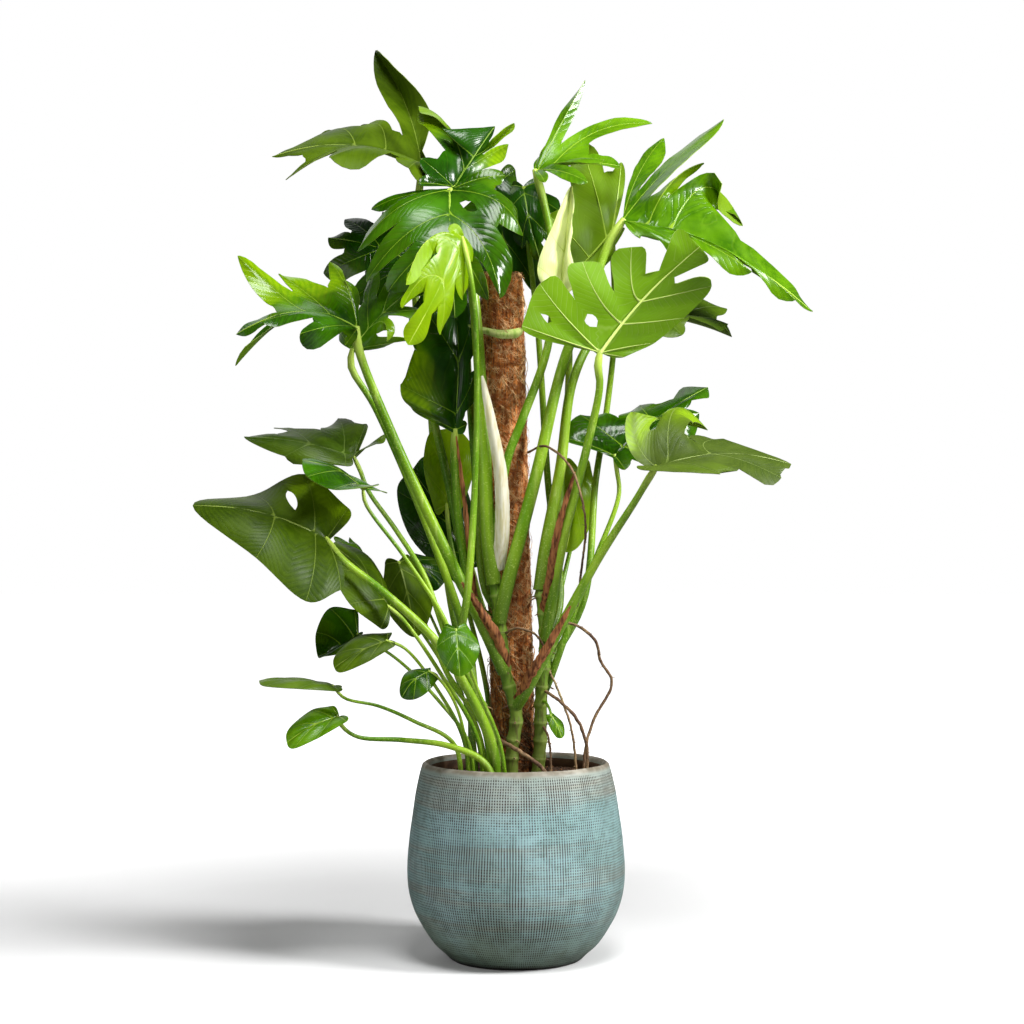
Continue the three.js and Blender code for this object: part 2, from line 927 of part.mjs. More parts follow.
// The veins of a blade, from its left basal lobe round the tip to its right basal lobe.
// Each is a curve from its root on the midrib to its lobe's tip.
function bladeVeins(leaf) {
  const joint = vector(leaf.joint);
  const tip = vector(leaf.tip);
  const left = vector(leaf.left);
  const right = vector(leaf.right);
  const along = tip.clone().sub(joint);
  const length = along.length();
  along.normalize();
  const across = right.clone().sub(left);
  across.addScaledVector(along, -across.dot(along)).normalize();
  const up = across.clone().cross(along);
  const crest = joint.clone().lerp(tip, 0.5).addScaledVector(up, 2 * leaf.bow);
  const midrib = new THREE.QuadraticBezierCurve3(joint, crest, tip);
  const frameAt = (station) => {
    const forward = midrib.getTangent(station);
    return { centre: midrib.getPoint(station), forward, up: across.clone().cross(forward) };
  };
  const widest = frameAt(widestStation);

  function spread(extreme, station) {
    const reach = extreme.clone().sub(widest.centre);
    const frame = frameAt(Math.max(station, 0));
    const place = new THREE.Vector3();
    place.addScaledVector(across, reach.dot(across));
    place.addScaledVector(frame.up, reach.dot(widest.up));
    place.addScaledVector(frame.forward, reach.dot(widest.forward));
    return { place, frame };
  }

  function lobeVein(side, order) {
    const mark = halfOutline.getPointAt((order + 0.8) / (leaf.lobes + 0.8));
    const { place, frame } = spread(side === 'L' ? left : right, mark.y);
    const root = midrib.getPoint(Math.max(0, (leaf.rootReach ?? rootReach) * mark.y - 0.03));
    const end = frame.centre.clone().addScaledVector(place, mark.x);
    if (mark.y < 0) end.addScaledVector(frame.forward, mark.y * length);
    const given = leaf.tips?.[side + order];
    if (given) end.set(...given);
    const reach = end.distanceTo(root);
    const bend = root.clone().lerp(end, 0.55);
    bend.addScaledVector(frame.forward, -0.18 * Math.max(mark.y, -0.1) * reach);
    bend.addScaledVector(frame.up, (leaf.curl ?? lobeCurl) * reach);
    const givenBend = leaf.bends?.[side + order];
    if (givenBend) bend.set(...givenBend);
    return new THREE.QuadraticBezierCurve3(root, bend, end);
  }

  const veins = [];
  for (let order = 0; order < leaf.lobes; order += 1) veins.push(lobeVein('L', order));
  const terminal = midrib.getPoint(terminalRoot);
  veins.push(new THREE.QuadraticBezierCurve3(terminal, midrib.getPoint((1 + terminalRoot) / 2), tip));
  for (let order = leaf.lobes - 1; order >= 0; order -= 1) veins.push(lobeVein('R', order));
  return { veins, length };
}

// A smooth surface through the veins: place counts veins, share runs from the midrib to the margin
function surfacePoint(veins, place, share) {
  const last = veins.length - 1;
  const veinPoint = (order) => {
    if (order >= 0 && order <= last) return veins[order].getPoint(share);
    const edge = veins[order < 0 ? 0 : last].getPoint(share);
    const inner = veins[order < 0 ? 1 : last - 1].getPoint(share);
    return edge.clone().addScaledVector(edge.clone().sub(inner), order < 0 ? -order : order - last);
  };
  const order = Math.floor(place);
  const f = place - order;
  const [a, b, c, d] = [-1, 0, 1, 2].map((step) => veinPoint(order + step));
  return new THREE.Vector3(
    ...['x', 'y', 'z'].map((axis) => 0.5 * (2 * b[axis] + (c[axis] - a[axis]) * f
      + (2 * a[axis] - 5 * b[axis] + 4 * c[axis] - d[axis]) * f * f
      + (3 * b[axis] - a[axis] - 3 * c[axis] + d[axis]) * f * f * f)),
  );
}

// A lobe narrows to its point: straight on the side towards the leaf's tip, in a curve on the other side
function lobeEnd(share, { from, power, root }) {
  const end = Math.max(0, (share - from) / (1 - from));
  return Math.max(0, 1 - end ** power) ** (1 / root);
}

// A lobed, cut and holed blade of even thickness, as a closed solid
function blade(leaf, thickness) {
  const { veins, length } = bladeVeins(leaf);
  const shares = leaf.rows ?? rowShares.plain;
  const corners = [];
  const numbers = new Map();
  const triangles = [];

  function corner(point) {
    const key = point.toArray().map((value) => Math.round(value * 1e3)).join();
    if (!numbers.has(key)) {
      numbers.set(key, corners.length);
      corners.push(point);
    }
    return numbers.get(key);
  }

  function triangle(a, b, c) {
    if (a !== b && b !== c && c !== a) triangles.push([a, b, c]);
  }

  const lobeName = (order) => {
    if (order === leaf.lobes) return 'T';
    return order < leaf.lobes ? `L${order}` : `R${2 * leaf.lobes - order}`;
  };

  // A point of a lobe's edge: side is -1 or 1, share as for the veins
  function edgePoint(order, side, share) {
    const boundary = order + (side - 1) / 2;
    const outside = boundary < 0 || boundary >= veins.length - 1;
    if (outside) {
      const reach = basalMargin * Math.sqrt(1 - share ** 3);
      return surfacePoint(veins, order + 0.5 * side * reach, share);
    }
    const nearJoint = lobeName(boundary < leaf.lobes ? boundary : boundary + 1);
    if (leaf.holes?.[nearJoint] === share) return surfacePoint(veins, order + 0.5 * side * holeReach, share);
    const cut = leaf.cuts?.[nearJoint] ?? leaf.cut ?? usualCut;
    const joined = surfacePoint(veins, order + 0.5 * side, share);
    if (share <= cut || cut >= 1) return joined;

    // Beyond the cut the lobe has a width of its own, square to its vein, and leaves a gap to its neighbour
    const vein = veins[order];
    const centre = vein.getPoint(share);
    const distances = veinSteps.map((step) => veins[order + side].getPoint(step).distanceTo(centre));
    const room = 0.5 * (1 - (leaf.gap ?? usualGap)) * Math.min(...distances);
    const widest = leaf.widths?.[lobeName(order)] ?? usualHalfWidth * length;
    const towardsTip = order === leaf.lobes || (side > 0) === (order < leaf.lobes);
    const blunt = { from: bluntFrom, power: leaf.blunt, root: leaf.blunt };
    const pointed = towardsTip ? lobeEnds.straight : lobeEnds.curved;
    const ending = leaf.blunt ? blunt : pointed;
    const width = Math.min(widest, room) * lobeEnd(share, ending);
    const forward = vein.getTangent(share);
    const out = joined.clone().sub(centre);
    out.addScaledVector(forward, -out.dot(forward)).normalize();
    const twist = leaf.twists?.[lobeName(order)] ?? usualTwist * Math.sin(2.1 * order + 1);
    out.applyAxisAngle(forward, (twist + side * (leaf.fold ?? usualFold)) * (share - cut) / (1 - cut));
    const opened = THREE.MathUtils.smoothstep(share, cut, cut + slotEnd);
    return joined.lerp(centre.addScaledVector(out, width), opened);
  }

  veins.forEach((vein, order) => {
    const rows = shares.map((share) => [-1, 1].map((side) => edgePoint(order, side, share)));
    for (let row = 1; row < shares.length; row += 1) {
      const low = vein.getPoint(shares[row - 1]);
      const high = vein.getPoint(shares[row]);
      const [lowLeft, lowRight] = rows[row - 1];
      const [highLeft, highRight] = rows[row];
      const [a, b, c, d, e, f] = [lowLeft, low, lowRight, highLeft, high, highRight].map(corner);
      triangle(a, b, e);
      triangle(a, e, d);
      triangle(b, c, e);
      triangle(c, f, e);
    }
  });
  return thicken(corners, triangles, thickness);
}

// Both faces and the rim of a thin sheet. The two faces have the same triangles
function thicken(corners, triangles, thickness) {
  const normals = corners.map(() => new THREE.Vector3());
  const edges = new Map();
  for (const [a, b, c] of triangles) {
    const normal = corners[b].clone().sub(corners[a]).cross(corners[c].clone().sub(corners[a]));
    for (const number of [a, b, c]) normals[number].add(normal);
    for (const [from, to] of [[a, b], [b, c], [c, a]]) edges.set(`${from},${to}`, [from, to]);
  }
  const positions = [];
  for (const side of [0.5, -0.5]) {
    corners.forEach((point, number) => {
      const normal = normals[number].clone().normalize();
      positions.push(...point.clone().addScaledVector(normal, side * thickness).toArray());
    });
  }
  const under = corners.length;
  const faces = [];
  for (const [a, b, c] of triangles) faces.push(a, b, c, under + c, under + b, under + a);
  for (const [from, to] of edges.values()) {
    if (!edges.has(`${to},${from}`)) faces.push(to, from, under + from, to, under + from, under + to);
  }
  const geometry = new THREE.BufferGeometry();
  geometry.setAttribute('position', new THREE.Float32BufferAttribute(positions, 3));
  geometry.setIndex(faces);
  return geometry;
}

// Planter: thrown stoneware with a flat foot, a full belly and a rounded rim
const lathe = (profile, sides) => toSolid(new THREE.LatheGeometry(
  profile.map(([radius, height]) => new THREE.Vector2(radius, height)),
  sides,
).rotateX(Math.PI / 2));
const potOutside = [
  [0, 0], [footRadius, 0], [123, 22], [140, 48], [153, 74], [161, 102], [potRadius, 130], [160, 175],
  [151, 245], [143, 280], [140, 289], [136, potHeight],
];
const potRimInside = [[132, 290], [mouthRadius, 280]];
const potInside = [
  [151 - wallThickness, 245], [160 - wallThickness, 175], [potRadius - wallThickness, 130],
  [161 - wallThickness, 102], [151 - wallThickness, 72], [108, 26],
  [88, potFloorThickness], [0, potFloorThickness],
];
addPiece('pot', lathe([...potOutside, ...potRimInside, ...potInside], potSides), 'glaze');

// Coir pole, slightly leaning, with a rounded top
const poleAxis = vector(poleTop).sub(vector(poleFoot));
function pole(extra) {
  const radius = poleRadius + extra;
  const length = poleAxis.length() + extra;
  const profile = [
    [0, 0], [radius, 0], [radius, 0.4 * length], [radius, 0.8 * length], [radius, length - 14],
    [0.86 * radius, length - 5], [0.6 * radius, length], [0, length],
  ];
  const geometry = new THREE.LatheGeometry(profile.map((point) => new THREE.Vector2(...point)), poleSides);
  const upright = new THREE.Vector3(0, 1, 0);
  const lean = new THREE.Quaternion().setFromUnitVectors(upright, poleAxis.clone().normalize());
  geometry.applyQuaternion(lean);
  return toSolid(geometry.translate(...poleFoot));
}
addPiece('coir_pole', pole(0), 'coir');
const carriers = [pole(seatGap)];

// Climbing stems, each from in the soil to its top, with a swollen ring at each node
const stems = {
  left: {
    radius: 11,
    points: [
      [-9, -40, 152], [-7, -44, 256], [-5, -46, 321], [0, -48, 369],
      [-16, -50, 431], [-24, -52, 505], [-33, -50, 574],
    ],
  },
  right: {
    radius: 11,
    points: [
      [33, -24, 149], [31, -28, 254], [36, -30, 328], [37, -34, 388],
      [43, -40, 463], [40, -40, 522], [35, -40, 559],
    ],
  },
  young: {
    radius: 8,
    points: [
      [-27, -64, 155], [-28, -66, 259], [-31, -68, 325], [-43, -72, 369],
      [-65, -78, 412], [-76, -82, 439], [-88, -84, 465],
    ],
  },
};
function stemSolid({ points, radius }, extra) {
  const radiusAt = (share) => {
    const ring = Math.round(share * stemSteps) % stepsBetweenNodes === 2 ? nodeSwelling : 1;
    return radius * (1 - stemTaper * share) * ring + extra;
  };
  return bar(points, radiusAt, stemSides, stemSteps);
}
for (const [name, stem] of Object.entries(stems)) {
  addPiece(`stem_${name}`, seated(stemSolid(stem, 0), carriers), 'stem');
  carriers.push(stemSolid(stem, seatGap));
}

// Leaves: the blade and its leaf stalk in one piece, the stalk's foot shaped to what carries it
function leafSolid(leaf, extra) {
  const [foot, knee] = leaf.stalkRadius;
  const joint = vector(leaf.joint);
  const last = vector(leaf.stalk.at(-1));
  const past = joint.clone().addScaledVector(joint.clone().sub(last).normalize(), stalkPastJoint);
  const taper = (share) => knee + (foot - knee) * (1 - share) + extra;
  const sides = foot > thickStalkRadius ? 6 : 5;
  const stalk = bar([...leaf.stalk, past.toArray()], taper, sides, stalkSteps);
  return stalk.add(toSolid(blade(leaf, bladeThickness + 2 * extra)));
}
for (const [name, leaf] of Object.entries(leaves)) {
  addPiece(name, seated(leafSolid(leaf, 0), carriers), leaf.look ?? 'leaf');
  carriers.push(leafSolid(leaf, seatGap));
}

// A thin sheath: a folded strip that narrows to a point, from its foot on the stem up along a leaf stalk
function sheath({ points, halfWidth, across }, extra) {
  const path = new THREE.CatmullRomCurve3(points.map(vector));
  const side = vector(across).normalize();
  const corners = [];
  const triangles = [];
  for (let row = 0; row <= sheathRows; row += 1) {
    const share = row / sheathRows;
    const centre = path.getPoint(share);
    const width = halfWidth * Math.sqrt(1.02 - share ** 2);
    const fold = path.getTangent(share).cross(side).multiplyScalar(sheathFold * width);
    corners.push(centre.clone().addScaledVector(side, -width).add(fold));
    corners.push(centre);
    corners.push(centre.clone().addScaledVector(side, width).add(fold));
    if (row > 0) {
      const low = 3 * (row - 1);
      for (const column of [0, 1]) {
        const [a, b, c, d] = [low + column, low + column + 1, low + column + 4, low + column + 3];
        triangles.push([a, b, c], [a, c, d]);
      }
    }
  }
  return toSolid(thicken(corners, triangles, bladeThickness + 2 * extra));
}
const sheaths = {
  pale_sheath: {
    points: [[-28, -58, 579], [-21, -70, 626], [-22, -74, 714], [-37, -74, 802], [-50, -68, 867]],
    halfWidth: 11,
    across: [1, 0, 0.2],
    look: 'paleSheath',
  },
  dry_sheath_hanging: {
    points: [[-60, -16, 530], [-66, -22, 581], [-77, -24, 685], [-89, -30, 780]],
    halfWidth: 4,
    across: [1, 0, 0.2],
    look: 'drySheath',
  },
  dry_sheath_left: {
    points: [[-12, -60, 437], [-26, -82, 480], [-50, -94, 521], [-79, -100, 565]],
    halfWidth: 8,
    across: [1, 0, 0.8],
    look: 'drySheath',
  },
  dry_sheath_front: {
    points: [[0, -58, 384], [20, -86, 428], [52, -102, 481], [79, -112, 531]],
    halfWidth: 7,
    across: [1, 0, -0.8],
    look: 'drySheath',
  },
  dry_sheath_right: {
    points: [[40, -48, 516], [48, -72, 567], [61, -92, 641], [85, -106, 725]],
    halfWidth: 6,
    across: [1, 0, -0.2],
    look: 'drySheath',
  },
  pole_wrap_tip: {
    points: [[10, -14, 937], [3, -30, 933], [-24, -37, 931], [-48, -30, 937], [-71, -40, 944]],
    halfWidth: 7,
    across: [0, 0, 1],
    look: 'paleLeaf',
  },
};
for (const [name, spec] of Object.entries(sheaths)) {
  addPiece(name, seated(sheath(spec, 0), carriers), spec.look);
  carriers.push(sheath(spec, seatGap));
}

// Aerial roots, from the stems down into the soil
const roots = {
  aerial_root_outer: {
    radius: 2.2,
    points: [
      [43, -42, 478], [73, -60, 504], [115, -60, 480], [125, -50, 447],
      [142, -40, 415], [115, -40, 359], [103, -46, 318], [97, -50, 224],
    ],
  },
  aerial_root_inner: {
    radius: 2.4,
    points: [[37, -34, 406], [65, -66, 388], [88, -72, 365], [104, -64, 321], [98, -60, 227]],
  },
  aerial_root_front: {
    radius: 3,
    points: [[-29, -70, 335], [6, -98, 318], [40, -104, 292], [58, -96, 233]],
  },
  aerial_root_pale: { radius: 1.8, points: [[43, -40, 445], [68, -44, 389], [85, -34, 329], [91, -28, 221]] },
  aerial_root_across: {
    radius: 1.8,
    points: [[-20, -52, 486], [2, -74, 497], [26, -72, 489], [43, -42, 466]],
  },
  aerial_root_upright: { radius: 1.8, points: [[36, -32, 358], [49, -52, 328], [50, -54, 225]] },
  aerial_root_high: {
    radius: 1.8,
    points: [
      [18, -20, 756], [43, -56, 764], [81, -108, 728],
      [100, -114, 655], [95, -80, 578], [91, -30, 527],
    ],
  },
};
const root = ({ points, radius }, extra) => bar(points, () => radius + extra, 4, 2 * points.length);
for (const [name, spec] of Object.entries(roots)) {
  addPiece(name, seated(root(spec, 0), carriers), 'root');
  carriers.push(root(spec, seatGap));
}

// Soil: it fills the pot with a small gap to its wall, and takes all that stands in it in plain holes
const soilWall = [
  [0, potFloorThickness], [88, potFloorThickness], [108, 26], [151 - wallThickness, 72],
  [potRadius - wallThickness, 130], [151 - wallThickness, 245],
].map(([radius, height]) => [Math.max(0, radius - soilGap), height + soilGap]);
const soilSurface = [[mouthRadius + 2, soilTop - 3], [90, soilTop + 1], [0, soilTop + soilRise]];
addPiece('soil', seated(lathe([...soilWall, ...soilSurface], potSides), carriers), 'soil');

export default plant;
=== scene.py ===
import math
import random
import bmesh
import bpy
import numpy as np
from mathutils import Matrix, Vector, noise


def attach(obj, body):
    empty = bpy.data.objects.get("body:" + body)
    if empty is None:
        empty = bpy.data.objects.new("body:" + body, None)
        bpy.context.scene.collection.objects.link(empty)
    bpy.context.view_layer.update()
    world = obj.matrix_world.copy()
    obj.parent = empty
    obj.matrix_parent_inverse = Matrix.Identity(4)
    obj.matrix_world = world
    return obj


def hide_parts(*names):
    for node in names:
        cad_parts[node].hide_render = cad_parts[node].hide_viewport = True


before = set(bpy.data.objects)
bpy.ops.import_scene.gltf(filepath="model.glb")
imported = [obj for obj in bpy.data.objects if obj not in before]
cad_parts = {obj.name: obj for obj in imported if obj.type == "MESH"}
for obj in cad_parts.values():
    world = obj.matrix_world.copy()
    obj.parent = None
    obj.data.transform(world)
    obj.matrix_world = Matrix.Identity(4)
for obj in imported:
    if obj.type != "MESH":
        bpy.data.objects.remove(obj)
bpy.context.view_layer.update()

mm = 0.001
noise.seed_set(5)     # unseeded, noise_vector takes its offsets from the clock
print("frame loaded")


# Curves

def unit(v):
    return v / max(np.linalg.norm(v), 1e-9)


def bezier(a, b, c, t):
    t = np.asarray(t)[..., None]
    return a * (1 - t) ** 2 + 2 * b * t * (1 - t) + c * t * t


def smoothPath(points, count):
    # a smooth curve through the points, cut into count even steps
    pts = [np.array(p, float) for p in points]
    pts = [2 * pts[0] - pts[1]] + pts + [2 * pts[-1] - pts[-2]]
    dense = []
    for i in range(1, len(pts) - 2):
        p0, p1, p2, p3 = pts[i - 1:i + 3]
        d0, d1, d2 = (max(np.linalg.norm(b - a) ** 0.5, 1e-6) for a, b in ((p0, p1), (p1, p2), (p2, p3)))
        m1 = ((p1 - p0) / d0 - (p2 - p0) / (d0 + d1) + (p2 - p1) / d1) * d1
        m2 = ((p2 - p1) / d1 - (p3 - p1) / (d1 + d2) + (p3 - p2) / d2) * d1
        for t in np.linspace(0, 1, 24, endpoint=False):
            square, cube = 3 * (p2 - p1) - 2 * m1 - m2, 2 * (p1 - p2) + m1 + m2
            dense.append(p1 + m1 * t + square * t * t + cube * t ** 3)
    dense.append(pts[-2])
    dense = np.array(dense)
    along = np.concatenate([[0], np.cumsum(np.linalg.norm(np.diff(dense, axis=0), axis=1))])
    steps = np.linspace(0, along[-1], count + 1)
    return np.stack([np.interp(steps, along, dense[:, k]) for k in range(3)], axis=1)


def wobble(path, size, scale, seed):
    # small sideways turns, none at the first point
    shifts = [noise.noise_vector(Vector(p) / scale + Vector((seed, 0, 0))) for p in path]
    fade = np.clip(np.linspace(0, 6, len(path)), 0, 1)[:, None]
    return path + np.array(shifts) * size * fade


# Meshes

def newMesh(*layerNames):
    bm = bmesh.new()
    return bm, {name: bm.verts.layers.float.new(name) for name in layerNames}


def joinInto(bm, part):
    # adds a small mesh to a larger one; building it apart keeps each step quick
    mesh = bpy.data.meshes.new("part")
    part.to_mesh(mesh)
    part.free()
    bm.from_mesh(mesh)
    bpy.data.meshes.remove(mesh)


def tube(bm, path, radii, sides, slot=0, turn=0.0, flat=1.0, **values):
    # a ring is drawn out along the path, and both ends are closed
    path = np.asarray(path, float)
    tangents = np.gradient(path, axis=0)
    first = unit(tangents[0])
    normal = np.cross(first, [1, 0.2, 0] if abs(first[2]) > 0.9 else [0.1, 0.2, 1])
    angles = turn + np.arange(sides) * 2 * math.pi / sides
    part, layers = newMesh(*values)
    verts = bmesh.ops.create_circle(part, cap_ends=True, radius=1, segments=sides)["verts"]
    edges = list(verts[0].link_faces[0].edges)
    for i, point in enumerate(path):
        tangent = unit(tangents[i])
        normal = unit(normal - tangent * np.dot(normal, tangent))
        side = np.cross(tangent, normal)
        if i:
            drawn = bmesh.ops.extrude_edge_only(part, edges=edges)["geom"]
            edges = [piece for piece in drawn if isinstance(piece, bmesh.types.BMEdge)]
            fresh = {piece for piece in drawn if isinstance(piece, bmesh.types.BMVert)}
            verts = [next(e.other_vert(v) for e in v.link_edges if e.other_vert(v) in fresh) for v in verts]
        for v, angle in zip(verts, angles):
            out = math.cos(angle) * normal + math.sin(angle) * flat * side
            v.co = (point + out * radii[i]) * mm
            for name, given in values.items():
                v[layers[name]] = given[i] if np.ndim(given) else given
    part.faces.new(verts)
    for face in part.faces:
        face.material_index = slot
    joinInto(bm, part)


def thicken(bm, faces, thickness, slot):
    # a sheet becomes a thin body: its faces stay on top, and their copies below get the slot
    bm.normal_update()
    upper = list({v for face in faces for v in face.verts})
    normals = {tuple(v.co): v.normal.copy() for v in upper}
    grown = bmesh.ops.extrude_face_region(bm, geom=faces, use_keep_orig=True)["geom"]
    lower = [part for part in grown if isinstance(part, bmesh.types.BMVert)]
    for v in upper:
        v.co += normals[tuple(v.co)] * thickness * mm / 2
    for v in lower:
        v.co -= normals[tuple(v.co)] * thickness * mm / 2
        for face in v.link_faces:
            face.material_index = slot


def makeObject(name, bm, materials, sharp=60):
    bmesh.ops.recalc_face_normals(bm, faces=bm.faces)
    for face in bm.faces:
        face.smooth = True
    for edge in bm.edges:
        edge.smooth = len(edge.link_faces) == 2 and edge.calc_face_angle(0) < math.radians(sharp)
    mesh = bpy.data.meshes.new(name)
    bm.to_mesh(mesh)
    bm.free()
    for material in materials:
        mesh.materials.append(material)
    piece = bpy.data.objects.new(name, mesh)
    bpy.context.scene.collection.objects.link(piece)
    return piece


def place(piece, node):
    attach(piece, "root")
    if node:
        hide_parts(node)


def spun(profile, steps):
    # a turned form from (radius, height) points round the upright axis
    bm = bmesh.new()
    line = [bm.verts.new((radius * mm, 0, height * mm)) for radius, height in profile]
    edges = [bm.edges.new(pair) for pair in zip(line, line[1:])]
    bmesh.ops.spin(bm, geom=line + edges, cent=(0, 0, 0), axis=(0, 0, 1), angle=2 * math.pi, steps=steps,
                   use_merge=True)
    bmesh.ops.remove_doubles(bm, verts=bm.verts, dist=1e-6)
    bmesh.ops.recalc_face_normals(bm, faces=bm.faces)
    return bm


# Materials

def linear(colour):
    # a screen colour from 0 to 255, as the shaders take it
    return tuple((c / 3294.6 if c < 10.3 else ((c / 255 + 0.055) / 1.055) ** 2.4) for c in colour) + (1,)


class Nodes:
    # a new material and short calls for the nodes used below

    def __init__(self, name):
        self.material = bpy.data.materials.new(name)
        self.material.use_nodes = True
        self.tree = self.material.node_tree
        self.tree.nodes.clear()
        self.objectCoords = self.add("ShaderNodeTexCoord").outputs["Object"]

    def add(self, kind, **values):
        node = self.tree.nodes.new(kind)
        for key, value in values.items():
            setattr(node, key, value)
        return node

    def link(self, source, target):
        # the source is a socket, a number or a screen colour
        if isinstance(source, bpy.types.NodeSocket):
            self.tree.links.new(source, target)
        else:
            target.default_value = linear(source) if isinstance(source, tuple) else source

    def attribute(self, name):
        return self.add("ShaderNodeAttribute", attribute_name=name).outputs["Fac"]

    def math(self, operation, a, b=0.0):
        node = self.add("ShaderNodeMath", operation=operation)
        self.link(a, node.inputs[0])
        self.link(b, node.inputs[1])
        return node.outputs[0]

    def plus(self, a, b):
        return self.math("ADD", a, b)

    def times(self, a, b):
        return self.math("MULTIPLY", a, b)

    def axes(self):
        node = self.add("ShaderNodeSeparateXYZ")
        self.link(self.objectCoords, node.inputs[0])
        return node.outputs

    def noise(self, scale, detail=3.0, rough=0.55, stretch=(1, 1, 1)):
        mapping = self.add("ShaderNodeMapping")
        mapping.inputs["Scale"].default_value = stretch
        self.link(self.objectCoords, mapping.inputs["Vector"])
        node = self.add("ShaderNodeTexNoise")
        self.link(mapping.outputs[0], node.inputs["Vector"])
        node.inputs["Scale"].default_value = scale
        node.inputs["Detail"].default_value = detail
        node.inputs["Roughness"].default_value = rough
        return node.outputs["Fac"]

    def remap(self, value, low, high, start=0.0, end=1.0, smooth=True):
        node = self.add("ShaderNodeMapRange", interpolation_type="SMOOTHSTEP" if smooth else "LINEAR")
        self.link(value, node.inputs["Value"])
        for key, number in (("From Min", low), ("From Max", high), ("To Min", start), ("To Max", end)):
            node.inputs[key].default_value = number
        return node.outputs["Result"]

    def spread(self, value, start, end):
        # takes the middle range of a noise
        return self.remap(value, 0.3, 0.7, start, end)

    def mix(self, factor, a, b):
        node = self.add("ShaderNodeMix", data_type="RGBA")
        self.link(factor, node.inputs[0])
        self.link(a, node.inputs[6])
        self.link(b, node.inputs[7])
        return node.outputs[2]

    def bump(self, height, strength, distance):
        node = self.add("ShaderNodeBump")
        node.inputs["Strength"].default_value = strength
        node.inputs["Distance"].default_value = distance * mm
        self.link(height, node.inputs["Height"])
        return node.outputs[0]

    def finish(self, colour, roughness, normal=None, specular=0.5, glow=None, glowShare=0.0):
        surface = self.add("ShaderNodeBsdfPrincipled")
        self.link(colour, surface.inputs["Base Color"])
        self.link(roughness, surface.inputs["Roughness"])
        surface.inputs["Specular IOR Level"].default_value = specular
        if normal is not None:
            self.link(normal, surface.inputs["Normal"])
        result = surface.outputs[0]
        if glow is not None:
            through = self.add("ShaderNodeBsdfTranslucent")
            self.link(glow, through.inputs["Color"])
            mixer = self.add("ShaderNodeMixShader")
            mixer.inputs[0].default_value = glowShare
            self.link(result, mixer.inputs[1])
            self.link(through.outputs[0], mixer.inputs[2])
            result = mixer.outputs[0]
        self.link(result, self.add("ShaderNodeOutputMaterial").inputs["Surface"])
        return self.material


# Camera and light

camera = {"from": (-6, -3200, 667), "lens": 75, "sensor": 36, "farthest": 50}
cameraData = bpy.data.cameras.new("camera")
cameraData.lens = camera["lens"]
cameraData.sensor_width = camera["sensor"]
cameraData.clip_end = camera["farthest"]
cameraObject = bpy.data.objects.new("camera", cameraData)
cameraObject.location = Vector(camera["from"]) * mm
cameraObject.rotation_euler = (math.radians(90), 0, 0)
bpy.context.scene.collection.objects.link(cameraObject)
bpy.context.scene.camera = cameraObject
bpy.context.scene.view_settings.view_transform = "Standard"

# name: place (m), size (m), strength (W)
lamps = {
    "key": ((2.5, -1.1, 2.2), 0.8, 124),
    "top": ((0.3, -1.3, 3.1), 1.1, 72),
    "fill": ((-2.4, -2.6, 1.2), 2.2, 22),
    "back": ((-0.8, 2.4, 2.4), 2.4, 16),
}
lampsPointAt = Vector((0, 0, 0.7))
for lampName, (spot, size, strength) in lamps.items():
    lampData = bpy.data.lights.new(lampName, "AREA")
    lampData.size = size
    lampData.energy = strength
    lamp = bpy.data.objects.new(lampName, lampData)
    lamp.location = spot
    lamp.rotation_euler = (lampsPointAt - lamp.location).to_track_quat("-Z", "Y").to_euler()
    bpy.context.scene.collection.objects.link(lamp)

# the surroundings give a little light, and the camera sees them white
studio = {"light": 0.10, "seen": 1.0}
world = bpy.data.worlds.new("studio")
bpy.context.scene.world = world
world.use_nodes = True
tree = world.node_tree
tree.nodes.clear()
lightPath = tree.nodes.new("ShaderNodeLightPath")
around, seen = (tree.nodes.new("ShaderNodeBackground") for _ in range(2))
chooser = tree.nodes.new("ShaderNodeMixShader")
around.inputs["Strength"].default_value = studio["light"]
seen.inputs["Strength"].default_value = studio["seen"]
seen.inputs["Color"].default_value = around.inputs["Color"].default_value = (1, 1, 1, 1)
tree.links.new(lightPath.outputs["Is Camera Ray"], chooser.inputs[0])
tree.links.new(around.outputs[0], chooser.inputs[1])
tree.links.new(seen.outputs[0], chooser.inputs[2])
tree.links.new(chooser.outputs[0], tree.nodes.new("ShaderNodeOutputWorld").inputs["Surface"])

# the floor fades to white away from the pot, and the plant gets less back from it than the camera sees
studioFloor = {
    "half": 14, "fade": (0.35, 2.4, 0.05, 1.0),      # from and to in metres, with the glow at both
    "matt": (0.82, 0.82, 0.82, 1), "back": (0.34, 0.34, 0.33, 1),
}
floorBm = bmesh.new()
bmesh.ops.create_grid(floorBm, x_segments=1, y_segments=1, size=studioFloor["half"])
n = Nodes("floor_white")
floorPath, floorChoice, floorSum = (n.add(kind) for kind in
                                    ("ShaderNodeLightPath", "ShaderNodeMixShader", "ShaderNodeAddShader"))
floorLight, floorMatt, floorDull = (n.add(kind) for kind in
                                    ("ShaderNodeEmission", "ShaderNodeBsdfDiffuse", "ShaderNodeBsdfDiffuse"))
fromPot = n.add("ShaderNodeVectorMath", operation="LENGTH")
n.link(n.objectCoords, fromPot.inputs[0])
n.link(n.remap(fromPot.outputs["Value"], *studioFloor["fade"]), floorLight.inputs["Strength"])
floorMatt.inputs["Color"].default_value = studioFloor["matt"]
floorDull.inputs["Color"].default_value = studioFloor["back"]
n.link(floorLight.outputs[0], floorSum.inputs[0])
n.link(floorMatt.outputs[0], floorSum.inputs[1])
n.link(floorPath.outputs["Is Camera Ray"], floorChoice.inputs[0])
n.link(floorDull.outputs[0], floorChoice.inputs[1])
n.link(floorSum.outputs[0], floorChoice.inputs[2])
